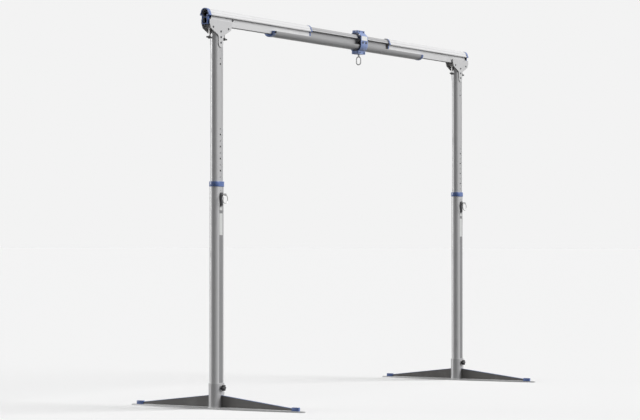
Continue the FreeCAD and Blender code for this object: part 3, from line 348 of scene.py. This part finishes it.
def weld_tree():
    """Beads of weld, one ripple after another, along the edges of the mesh that it is given."""
    sockets = [("Width", "NodeSocketFloat"), ("Pitch", "NodeSocketFloat"), ("Metal", "NodeSocketMaterial")]
    tree, bench, ports = new_tree("weld_bead", sockets)
    seam = bench.node("GeometryNodeMeshToCurve", {}, {0: ports["Geometry"]})
    steps = {"Curve": seam, "Length": ports["Pitch"]}
    spots = bench.node("GeometryNodeResampleCurve", {"mode": "LENGTH"}, steps)
    points = bench.node("GeometryNodeCurveToPoints", {"mode": "EVALUATED"}, {0: spots})
    turn = points.also(3)
    ripple = bench.node("GeometryNodeMeshUVSphere", {}, {"Segments": 8, "Rings": 5, "Radius": 0.5})
    size = bench.node("FunctionNodeRandomValue", {"data_type": "FLOAT"}, {2: 0.88, 3: 1.0, "Seed": 7}, output=1)
    across = ports["Width"] * size
    shape = bench.node("ShaderNodeCombineXYZ", {}, {0: across, 1: across, 2: ports["Width"]})
    beads = bench.node(
        "GeometryNodeInstanceOnPoints",
        {},
        {"Points": points, "Instance": ripple, "Rotation": turn, "Scale": shape},
    )
    real = bench.node("GeometryNodeRealizeInstances", {}, {0: beads})
    done = bench.node("GeometryNodeSetMaterial", {}, {"Geometry": real, "Material": ports["Metal"]})
    bench.node("NodeGroupOutput", {}, {0: done})
    return tree


def grown_by(tree, name, points, edges, values, marks=None):
    """Runs a tree on a few points and edges, and returns the plain mesh that grows there."""
    mesh = bpy.data.meshes.new(name + "_guide")
    mesh.from_pydata(points, edges, [])
    for label, vectors in (marks or {}).items():
        layer = mesh.attributes.new(label, "FLOAT_VECTOR", "POINT")
        layer.data.foreach_set("vector", [part for vector in vectors for part in vector])
    maker = bpy.data.objects.new(name + "_guide", mesh)
    bpy.context.scene.collection.objects.link(maker)
    modifier = maker.modifiers.new("grow", "NODES")
    modifier.node_group = tree
    modifier_inputs(modifier, values)
    piece = plain_mesh(maker, name)
    for face in piece.data.polygons:
        face.use_smooth = True
    return piece


weld = weld_tree()
weld_metal = aluminium("weld_bead", grey(0.6), grey(0.42), NO_GRAIN, 0.6, 0.3)
for side, x in SIDES:
    paint("foot_base_" + side, plate_metal)
    paint("foot_gussets_" + side, gusset_shade_metal)
    paint("foot_socket_" + side, socket_metal)
    casting("foot_trims_" + side, 0.0008, blue_coat, "blue_coat")
    points, edges = [], []
    for face in (-1, 1):
        for end in (-1, 1):
            points.append((x + face * GUSSET_SEAM, end * (SOCKET_FACE + SEAM_END), SEAM_HEIGHT))
            points.append((x + face * GUSSET_SEAM, end * (GUSSET_REACH - SEAM_END), SEAM_HEIGHT))
            edges.append((len(points) - 2, len(points) - 1))
    first = len(points)
    for step in range(SEAM_STEPS):
        turn = 2 * math.pi * (step + 0.5) / SEAM_STEPS
        centre = SOCKET_STRAIGHT if math.cos(turn) > 0 else -SOCKET_STRAIGHT
        points.append((x + centre + SOCKET_NOSE * math.cos(turn), SOCKET_NOSE * math.sin(turn), SEAM_HEIGHT))
        edges.append((first + step, first + (step + 1) % SEAM_STEPS))
    values = {"Width": WELD_WIDTH, "Pitch": WELD_PITCH, "Metal": weld_metal}
    beads = grown_by(weld, "foot_welds_" + side, points, edges, values)
    settle(beads, side + "_leg", "aluminium_extrusion")


# The foot knobs
# A lobed knob of black moulded plastic on a zinc-plated stem. It screws through the socket's boss and holds
# the upright, so that the foot comes off for carrying.

KNOB_HEIGHT = 0.131
KNOB_FACES = (-0.0446, -0.064)
KNOB_LOBES = 6
BOSS_FOOT = -0.0379
SKIRT_BORE, SKIRT_RADIUS = 0.0104, 0.0118
STEM_FOOT, STEM_RADIUS = -0.0323, 0.005


def skin(name, rings, material, tunnel=False):
    """A closed piece through rings of points. Its ends are filled, or its last ring leads back to its first."""
    work = bmesh.new()
    loops = [[work.verts.new(point) for point in ring] for ring in rings]
    for low, high in zip(loops, loops[1:] + loops[:1] if tunnel else loops[1:]):
        for here in range(len(low)):
            there = (here + 1) % len(low)
            work.faces.new((low[here], low[there], high[there], high[here]))
    if not tunnel:
        work.faces.new(loops[0])
        work.faces.new(loops[-1])
    bmesh.ops.recalc_face_normals(work, faces=work.faces)
    mesh = bpy.data.meshes.new(name)
    work.to_mesh(mesh)
    work.free()
    mesh.materials.append(material)
    for face in mesh.polygons:
        face.use_smooth = True
    mesh.set_sharp_from_angle(angle=math.radians(32))
    piece = bpy.data.objects.new(name, mesh)
    bpy.context.scene.collection.objects.link(piece)
    return piece


def ring_about(axis, centre, along, radius, count, lobes=0, depth=0.0):
    """A ring of points round an axis, at a distance along it, with lobes if it has any."""
    points = []
    for step in range(count):
        turn = 2 * math.pi * step / count
        reach = radius * (1 + depth * math.cos(lobes * turn))
        one, two = reach * math.cos(turn), reach * math.sin(turn)
        local = {"X": (along, one, two), "Y": (one, along, two), "Z": (one, two, along)}[axis]
        points.append(tuple(c + d for c, d in zip(centre, local)))
    return points


def moulded_plastic():
    """Black glass-filled nylon: fine grain, a little sheen where hands polish it."""
    material, bench = new_finish("black_plastic")
    grain = stretched_noise(bench, (1400, 1400, 1400), 3)
    polish = stretched_noise(bench, (40, 40, 40), 3).between(0.45, 0.7)
    colour = bench.blend(0.5 * grain + 0.3 * polish, (0.012, 0.012, 0.013, 1), (0.035, 0.035, 0.038, 1))
    surface(bench, colour, 0.1 * grain + 0.5 - 0.15 * polish, 0.0, grain, 0.00012)
    return material


def steel(name, light, dark, rough):
    """Brushed or plated steel."""
    material, bench = new_finish(name)
    brushed = stretched_noise(bench, (700, 700, 60), 3)
    tint = stretched_noise(bench, (45, 45, 45), 3)
    colour = bench.blend(0.5 * brushed + 0.5 * tint, dark, light)
    surface(bench, colour, 0.15 * brushed + 0.1 * tint + rough, 0.9, brushed, 0.00004)
    return material


black_plastic = moulded_plastic()
bright_steel = steel("bright_steel", (0.5, 0.495, 0.49, 1), (0.3, 0.3, 0.3, 1), 0.2)
dark_zinc = steel("dark_zinc", (0.12, 0.12, 0.125, 1), (0.05, 0.05, 0.055, 1), 0.34)

for side, x in SIDES:
    centre = (x, 0, KNOB_HEIGHT)
    near, far = KNOB_FACES
    profile = [
        (near + 0.0002, SKIRT_BORE, 0.0),
        (BOSS_FOOT, SKIRT_BORE, 0.0),
        (BOSS_FOOT, SKIRT_RADIUS, 0.0),
        (near, SKIRT_RADIUS, 0.0),
        (near - 0.0012, 0.0125, 0.1),
        (near - 0.003, 0.0168, 0.19),
        (near - 0.0065, 0.0176, 0.19),
        (near - 0.0125, 0.0176, 0.19),
        (near - 0.0152, 0.0168, 0.18),
        (near - 0.017, 0.0145, 0.14),
        (far + 0.0003, 0.0105, 0.05),
        (far, 0.0062, 0.0),
    ]
    rings = [ring_about("Y", centre, y, radius, 72, KNOB_LOBES, depth) for y, radius, depth in profile]
    grip = skin("foot_knob_%s_grip" % side, rings, black_plastic)
    settle(grip, "foot_knob_" + side, "black_plastic", "foot_knob_" + side)
    rings = [ring_about("Y", centre, y, STEM_RADIUS, 24) for y in (STEM_FOOT, near)]
    stem = skin("foot_knob_%s_stem" % side, rings, dark_zinc)
    settle(stem, "foot_knob_" + side, "dark_bolts")


# The outer uprights
# An oval extrusion with a flat face set in at front and back, and a dark sheet laid on the front one as painted
# shade of the set-in face. A blue collar caps it, the housing of the height pin is screwed to its front, and
# two bare labels are stuck on the strip.

RECESS_FLOOR = -0.0317
STRIP_THICK = 0.0004
STRIP_ENDS, STRIP_HALF = (0.161, 1.2595), 0.0203
LABEL_THICK = 0.0003
LARGE_LABEL_ENDS, LARGE_LABEL_HALF = (1.08, 1.215), 0.0175
SMALL_LABEL_ENDS, SMALL_LABEL_HALF = (1.234, 1.254), 0.015
SHEET_CORNER = 0.002


def bare_label(tone):
    """Plain satin film, with a little dirt."""
    material, bench = new_finish("bare_label")
    dirt = stretched_noise(bench, (120, 120, 120), 5).between(0.5, 0.75)
    fibre = stretched_noise(bench, (800, 800, 800), 2)
    colour = bench.blend(0.35 * dirt + 0.1 * fibre, tone, (0.45, 0.45, 0.44, 1))
    surface(bench, colour, 0.12 * dirt + 0.4, 0.0, fibre, 0.00003)
    return material


label_film = bare_label((0.66, 0.67, 0.66, 1))
white_film = bare_label((0.88, 0.89, 0.88, 1))
# A dark sheet for the set-in front face: painted shade, darker than the extrusion around it.
shade_strip_metal = aluminium("painted_shade_strip", (0.25, 0.25, 0.255, 1), (0.19, 0.19, 0.195, 1), ALONG_Z, 0.15, 0.34)
outer_metal = aluminium("outer_extrusion", (0.54, 0.54, 0.545, 1), (0.44, 0.44, 0.445, 1), ALONG_Z, 0.18, 0.28)


def plate_outline(half_width, half_height, corner):
    """A rounded rectangle about its own middle."""
    points = []
    for quarter, (way, up) in enumerate(((1, 1), (-1, 1), (-1, -1), (1, -1))):
        for step in range(5):
            turn = math.pi / 2 * (quarter + step / 4)
            across = way * (half_width - corner) + corner * math.cos(turn)
            points.append((across, up * (half_height - corner) + corner * math.sin(turn)))
    return points


def stuck_on(name, x, ends, half_width, face, thick, material):
    """A thin sheet on a face that looks along -Y, from its lower end to its upper one."""
    low, high = ends
    middle = (low + high) / 2
    outline = plate_outline(half_width, (high - low) / 2, SHEET_CORNER)
    rings = [[(x + dx, y, middle + dz) for dx, dz in outline] for y in (face, face - thick)]
    return skin(name, rings, material)


for side, x in SIDES:
    paint("upright_outer_" + side, outer_metal)
    casting("collar_" + side, 0.001, blue_coat, "blue_coat")
    strip = stuck_on("face_strip_" + side, x, STRIP_ENDS, STRIP_HALF, RECESS_FLOOR, STRIP_THICK, shade_strip_metal)
    settle(strip, side + "_leg", "aluminium_extrusion")
    face = RECESS_FLOOR - STRIP_THICK
    large = stuck_on(
        "label_large_" + side, x, LARGE_LABEL_ENDS, LARGE_LABEL_HALF, face, LABEL_THICK, label_film
    )
    settle(large, side + "_leg", "aluminium_extrusion")
    small = stuck_on(
        "label_small_" + side, x, SMALL_LABEL_ENDS, SMALL_LABEL_HALF, face, LABEL_THICK, label_film
    )
    settle(small, side + "_leg", "aluminium_extrusion")


# The height pins
# A spring pin in a dark cast housing, pulled out by a split ring of bright steel. The pin drops into one of
# the inner upright's holes.

PIN_HEIGHT = 1.331
HOUSING_BACK, HOUSING_FACE = -0.0317, -0.044
HOUSING_BORE = 0.0063
HOUSING_STEPS = (
    (HOUSING_BACK, 1.0, 1.0),
    (HOUSING_FACE + 0.0022, 0.96, 1.0),
    (HOUSING_FACE + 0.0006, 0.86, 0.93),
    (HOUSING_FACE, 0.76, 0.93),
)
BACKING = (0.0317, 0.0365)
BACKING_RISE = 0.0075
taper = [(0.0, 0.014), (0.0052, 0.0138), (0.0092, 0.0108), (0.0126, 0.0056), (0.0145, -0.001)]
taper += [(0.0148, -0.009), (0.0138, -0.02), (0.0112, -0.035), (0.0086, -0.05), (0.0068, -0.061)]
taper += [(0.005, -0.0678), (0.0, -0.07)]
taper += [(-half, rise) for half, rise in taper[-2:0:-1]]

for side, x in SIDES:
    rings = []
    for y, wide, tall in HOUSING_STEPS:
        rings.append([(x + wide * half, y, PIN_HEIGHT + tall * rise) for half, rise in taper])
    for y in (HOUSING_FACE, HOUSING_BACK):
        ring = []
        for half, rise in taper:
            share = HOUSING_BORE / math.hypot(half, rise)
            ring.append((x + share * half, y, PIN_HEIGHT + share * rise))
        rings.append(ring)
    front = skin("lock_housing_%s_front" % side, rings, dark_zinc, tunnel=True)
    settle(front, side + "_leg", "dark_bolts", "lock_housing_" + side)
    outline = plate_outline(0.013, 0.0215, 0.003)
    rings = [[(x + dx, y, PIN_HEIGHT + BACKING_RISE + dz) for dx, dz in outline] for y in BACKING]
    back = skin("lock_housing_%s_back" % side, rings, dark_zinc)
    settle(back, side + "_leg", "dark_bolts")
    paint("lock_pin_" + side, bright_steel)
    paint("pull_ring_" + side, bright_steel)


# The inner uprights
# They slide in the outer ones, so their faces carry faint rub lines along the grain. Holes for the height pin
# and smaller sight holes run down the front.

inner_metal = aluminium("inner_extrusion", (0.5, 0.5, 0.505, 1), (0.41, 0.41, 0.415, 1), ALONG_Z, 0.18, 0.28)
for side, x in SIDES:
    paint("upright_inner_" + side, inner_metal)


# The heads
# On each upright two flanged plates hold a channel that carries the end beam. Button-head screws hold the
# plates, and two T-handle screws pull the nuts in the beam's slot down on its lips.

HEAD_FACE = 0.032
SCREW_HEAD = 0.007
TAIL_SCREWS = (2.349, 2.314, 2.279)
SIDE_SCREW_PLACE = 0.086
SIDE_SCREW_HEIGHT = 2.371


def hexagon(turn, flat):
    """How far a hexagon's side is from its middle in one direction."""
    return flat / math.cos((turn + math.pi / 6) % (math.pi / 3) - math.pi / 6)


def button_head():
    """One button-head screw of radius 1 with a hexagon socket, standing on the plane Z = 0."""
    profile = [(0.0, 0.96), (0.06, 1.0), (0.16, 1.0), (0.33, 0.9), (0.46, 0.72), (0.55, 0.5)]
    rings = [ring_about("Z", (0, 0, 0), z, radius, 24) for z, radius in profile]
    for z in (0.56, 0.24):
        ring = []
        for step in range(24):
            turn = 2 * math.pi * step / 24
            reach = hexagon(turn, 0.36)
            ring.append((reach * math.cos(turn), reach * math.sin(turn), z))
        rings.append(ring)
    return skin("button_head", rings, dark_zinc)


def screw_tree():
    """Copies of one screw on every point, each turned so that it stands out along the point's own direction."""
    sockets = [("Screw", "NodeSocketObject"), ("Radius", "NodeSocketFloat"), ("Metal", "NodeSocketMaterial")]
    tree, bench, ports = new_tree("screws", sockets)
    screw = bench.node("GeometryNodeObjectInfo", {}, {"Object": ports["Screw"]}, output=4)
    way = bench.node("GeometryNodeInputNamedAttribute", {"data_type": "FLOAT_VECTOR"}, {"Name": "out"})
    turn = bench.node("FunctionNodeAlignRotationToVector", {"axis": "Z"}, {"Vector": way})
    spots = bench.node("GeometryNodeMeshToPoints", {}, {0: ports["Geometry"]})
    size = bench.node("ShaderNodeCombineXYZ", {}, {axis: ports["Radius"] for axis in range(3)})
    placed = {"Points": spots, "Instance": screw, "Rotation": turn, "Scale": size}
    screws = bench.node("GeometryNodeInstanceOnPoints", {}, placed)
    real = bench.node("GeometryNodeRealizeInstances", {}, {0: screws})
    done = bench.node("GeometryNodeSetMaterial", {}, {"Geometry": real, "Material": ports["Metal"]})
    bench.node("NodeGroupOutput", {}, {0: done})
    return tree


screws = screw_tree()
screw_pattern = button_head()


def screw_set(name, spots, radius, body, *nodes):
    """Screws at the given points; each spot is a point and the direction it looks."""
    values = {"Screw": screw_pattern, "Radius": radius, "Metal": dark_zinc}
    points, ways = [spot for spot, way in spots], [way for spot, way in spots]
    piece = grown_by(screws, name, points, [], values, {"out": ways})
    piece.data.set_sharp_from_angle(angle=math.radians(32))
    settle(piece, body, "dark_bolts", *nodes)


head_plate_metal = aluminium("head_plate", (0.62, 0.62, 0.625, 1), (0.52, 0.52, 0.525, 1), ALONG_Z, 0.15, 0.3)
saddle_metal = aluminium(
    "milled_channel", (0.38, 0.374, 0.362, 1), (0.28, 0.275, 0.267, 1), ALONG_X, 0.18, 0.36
)

for side, x in SIDES:
    paint("head_plate_front_" + side, head_plate_metal)
    paint("head_plate_rear_" + side, head_plate_metal)
    paint("head_saddle_" + side, saddle_metal)
    spots = []
    for out in (-1, 1):
        spots += [((x, out * HEAD_FACE, z), (0, out, 0)) for z in TAIL_SCREWS]
        for way in (-1, 1):
            spots.append(((x + way * SIDE_SCREW_PLACE, out * HEAD_FACE, SIDE_SCREW_HEIGHT), (0, out, 0)))
    screw_set("head_screws_" + side, spots, SCREW_HEAD, side + "_end", "head_bolts_" + side)


# The clamp screws
# A plated steel screw with a collar, under each end of the saddle, and a moulded T-handle on its foot. The nut
# above it runs inside the beam's slot.

CLAMP_PLACE = 0.084
CLAMP_TOP = 2.4033
CLAMP_COLLAR = (2.3572, 2.3617)
HANDLE_HEIGHT = 2.308
THREAD_PITCH = 0.001
THREAD_RADII = (0.0043, 0.0048)
hub = [(-0.009, 0.0062), (-0.0082, 0.0078), (-0.0055, 0.0088)]
hub += [(0.0045, 0.0088), (0.0078, 0.0076), (0.009, 0.0058)]
arm = [(0.03, 0.0026), (0.0293, 0.004), (0.0272, 0.0052), (0.0235, 0.0055), (0.012, 0.0047), (0.0, 0.0045)]
arm += [(-along, radius) for along, radius in arm[-2::-1]]

for side, x in SIDES:
    for way, column in ((x / abs(x), "outer"), (-x / abs(x), "inner")):
        body = "clamp_screw_%s_%s" % (side, column)
        at = (x + way * CLAMP_PLACE, 0, 0)
        profile = [(HANDLE_HEIGHT + 0.006, 0.0046), (CLAMP_COLLAR[0] - 0.0004, 0.0046)]
        profile += [(CLAMP_COLLAR[0], 0.0096), (CLAMP_COLLAR[0] + 0.0005, 0.01)]
        profile += [(CLAMP_COLLAR[1] - 0.0005, 0.01), (CLAMP_COLLAR[1], 0.0096), (CLAMP_COLLAR[1], 0.0047)]
        turns = int((CLAMP_TOP - THREAD_PITCH - CLAMP_COLLAR[1]) / THREAD_PITCH)
        for step in range(turns):
            profile.append((CLAMP_COLLAR[1] + 0.0004 + step * THREAD_PITCH, THREAD_RADII[step % 2]))
        profile.append((CLAMP_TOP, 0.0036))
        rings = [ring_about("Z", at, z, radius, 24) for z, radius in profile]
        stem = skin(body + "_stem", rings, bright_steel)
        settle(stem, body, "bright_steel", body)
        middle = (at[0], 0, HANDLE_HEIGHT)
        rings = [ring_about("Z", middle, z, radius, 32) for z, radius in hub]
        boss = skin(body + "_hub", rings, black_plastic)
        settle(boss, body, "black_plastic")
        rings = [ring_about("X", middle, along, radius, 24) for along, radius in arm]
        bar = skin(body + "_bar", rings, black_plastic)
        settle(bar, body, "black_plastic")
        paint("clamp_nut_%s_%s" % (side, column), dark_zinc)


# The end beams
# The outer extrusions of the beam, mushroom-headed and open along the bottom. A blue cap closes each outer
# end, a blue band trims each inner end, and one screw in the side stops the slide.

STOP_SCREWS = (("left", -1.494, -1), ("right", 1.482, 1))
STOP_SCREW_FACE = 0.02
STOP_SCREW_HEIGHT = 2.43
STOP_SCREW_HEAD = 0.008

# The end beams' aluminium is set lighter than the uprights' as painted light: a lit copy of the same metal.
beam_lit_metal = aluminium("beam_extrusion_painted_light", (0.7, 0.7, 0.705, 1), (0.6, 0.6, 0.605, 1), ALONG_X, 0.1, 0.3)
for side, x in SIDES:
    paint("end_beam_" + side, beam_lit_metal)
    casting("end_cap_" + side, 0.0007, blue_coat, "blue_coat")
    casting("beam_trim_" + side, 0.0006, blue_coat, "blue_coat")
for side, x, out in STOP_SCREWS:
    spots = [((x, out * STOP_SCREW_FACE, STOP_SCREW_HEIGHT), (0, out, 0))]
    screw_set("stop_screw_" + side, spots, STOP_SCREW_HEAD, side + "_end", "stop_bolt_" + side)


# The centre beam
# The inner extrusion: a small head on a web above a half-round sleeve. The trolley's wheels have polished two
# tracks on its ledges, and blue end blocks with thumb screws guide the end beams.

LEDGE_TOP = (2.4054, 2.4058)
TRACK_PLACE = 0.0295
TRACK_FADE = (0.004, 0.0075)
SLEEVE_ENDS = (("left", -1.0175, -1), ("right", 1.0175, 1))
THUMB_HEIGHT = 2.398
THUMB_RADIUS = 0.0068
THUMB_START, THUMB_END = 0.04, 0.049
KNURL_RIBS = 20
RIB_RADIUS, RIB_LENGTH = 0.0006, 0.0066


def tracked_and_shaded_metal():
    """The beam's extrusion, polished along the two tracks of the wheels on its ledges, and set darker than the
    end beams as painted shade of the sleeve's underside.
    """
    material, bench = new_finish("tracked_extrusion_painted_shade")
    fine = stretched_noise(bench, (5, 420, 420), 3)
    broad = stretched_noise(bench, (1.2, 55, 55), 2)
    where = bench.node("ShaderNodeTexCoord", {}, {}, output=3)
    across = bench.node("ShaderNodeSeparateXYZ", {}, {0: where}, output=1)
    up = across.also(2)
    away = across.maths("ABSOLUTE", across, 0) - TRACK_PLACE
    off_track = away.maths("ABSOLUTE", away, 0).between(*TRACK_FADE)
    track = (1 - off_track) * up.between(*LEDGE_TOP)
    # These colours are set darker than the end beams' as painted shade of the sleeve's underside; the tracks'
    # polish is wear.
    streak = bench.blend(0.35 * fine + 0.65 * broad, (0.33, 0.33, 0.335, 1), (0.43, 0.43, 0.435, 1))
    colour = bench.blend(0.5 * track, streak, grey(0.86))
    sheen = {"Specular IOR Level": 0.3}
    surface(bench, colour, 0.14 * fine + 0.3 - 0.12 * track, 0.05, fine, 0.00006, **sheen)
    return material


def rib_tree():
    """Ribs round the rim of a thumb screw."""
    sockets = [
        ("Count", "NodeSocketInt"),
        ("Rim", "NodeSocketFloat"),
        ("Rib", "NodeSocketFloat"),
        ("Length", "NodeSocketFloat"),
        ("Plastic", "NodeSocketMaterial"),
    ]
    tree, bench, ports = new_tree("knurl_ribs", sockets)
    rim = bench.node("GeometryNodeMeshCircle", {}, {"Vertices": ports["Count"], "Radius": ports["Rim"]})
    rib_sizes = {"Vertices": 10, "Radius": ports["Rib"], "Depth": ports["Length"]}
    rib = bench.node("GeometryNodeMeshCylinder", {}, rib_sizes)
    ribs = bench.node("GeometryNodeInstanceOnPoints", {}, {"Points": rim, "Instance": rib})
    real = bench.node("GeometryNodeRealizeInstances", {}, {0: ribs})
    upright = bench.node("GeometryNodeTransform", {}, {"Geometry": real, "Rotation": (math.pi / 2, 0, 0)})
    spots = bench.node("GeometryNodeInstanceOnPoints", {}, {"Points": ports["Geometry"], "Instance": upright})
    all_real = bench.node("GeometryNodeRealizeInstances", {}, {0: spots})
    done = bench.node("GeometryNodeSetMaterial", {}, {"Geometry": all_real, "Material": ports["Plastic"]})
    bench.node("NodeGroupOutput", {}, {0: done})
    return tree


paint("centre_beam", tracked_and_shaded_metal())
knurl = rib_tree()
for side, x, out in SLEEVE_ENDS:
    casting("sleeve_end_" + side, 0.0008, blue_coat, "blue_coat")
    body = "span_screw_" + side
    at = (x, 0, THUMB_HEIGHT)
    profile = [(0.0203, 0.0036), (0.021, 0.004), (THUMB_START, 0.004), (THUMB_START, THUMB_RADIUS - 0.0006)]
    profile += [(THUMB_START + 0.0006, THUMB_RADIUS), (THUMB_END - 0.0012, THUMB_RADIUS)]
    profile += [(THUMB_END, THUMB_RADIUS - 0.0016), (THUMB_END, THUMB_RADIUS - 0.0034)]
    profile += [(THUMB_END - 0.0006, THUMB_RADIUS - 0.004)]
    rings = [ring_about("Y", at, out * y, radius, 40) for y, radius in profile]
    thumb = skin(body + "_knob", rings, black_plastic)
    settle(thumb, body, "black_plastic", body)
    middle = out * (THUMB_START + THUMB_END) / 2
    values = {"Count": KNURL_RIBS, "Rim": THUMB_RADIUS, "Rib": RIB_RADIUS, "Length": RIB_LENGTH}
    values["Plastic"] = black_plastic
    ribs = grown_by(knurl, body + "_ribs", [(x, middle, THUMB_HEIGHT)], [], values)
    ribs.data.set_sharp_from_angle(angle=math.radians(40))
    settle(ribs, body, "black_plastic")


# The trolley
# Two half shells cast and coated blue, bolted together over the beam. Four black wheels on stub axles run on
# the ledges, a bare label is stuck on the front cheek, and the load eye swivels below.

TROLLEY = 0.141
BOLT_PLACE = 0.03
BOLT_ROWS = ((0.022, 2.4988), (0.027, 2.353))
TROLLEY_SCREW_HEAD = 0.006
CHEEK_FACE = -0.048
CHEEK_LABEL_ENDS, CHEEK_LABEL_HALF = (2.437, 2.4665), 0.039

trolley_coat = powder_coat("trolley_coat", (0.19, 0.27, 0.52, 1), (0.14, 0.21, 0.43, 1), (0.36, 0.43, 0.66, 1))
for node in ("trolley_front", "trolley_rear"):
    casting(node, 0.0012, trolley_coat, "blue_coat")
paint("trolley_axles", dark_zinc)
for row in ("front", "rear"):
    for column in ("left", "right"):
        casting("trolley_wheel_%s_%s" % (row, column), 0.0005, black_plastic, "black_plastic")
spots = []
for way in (-1, 1):
    for out in (-1, 1):
        for face, height in BOLT_ROWS:
            spots.append(((TROLLEY + way * BOLT_PLACE, out * face, height), (0, out, 0)))
screw_set("trolley_screws", spots, TROLLEY_SCREW_HEAD, "trolley", "trolley_bolts")
paint("swivel_eye", steel("forged_steel", grey(0.3), grey(0.17), 0.26))
cheek_label = stuck_on(
    "label_trolley", TROLLEY, CHEEK_LABEL_ENDS, CHEEK_LABEL_HALF, CHEEK_FACE, LABEL_THICK, white_film
)
settle(cheek_label, "trolley", "aluminium_extrusion")

bpy.data.objects.remove(screw_pattern)
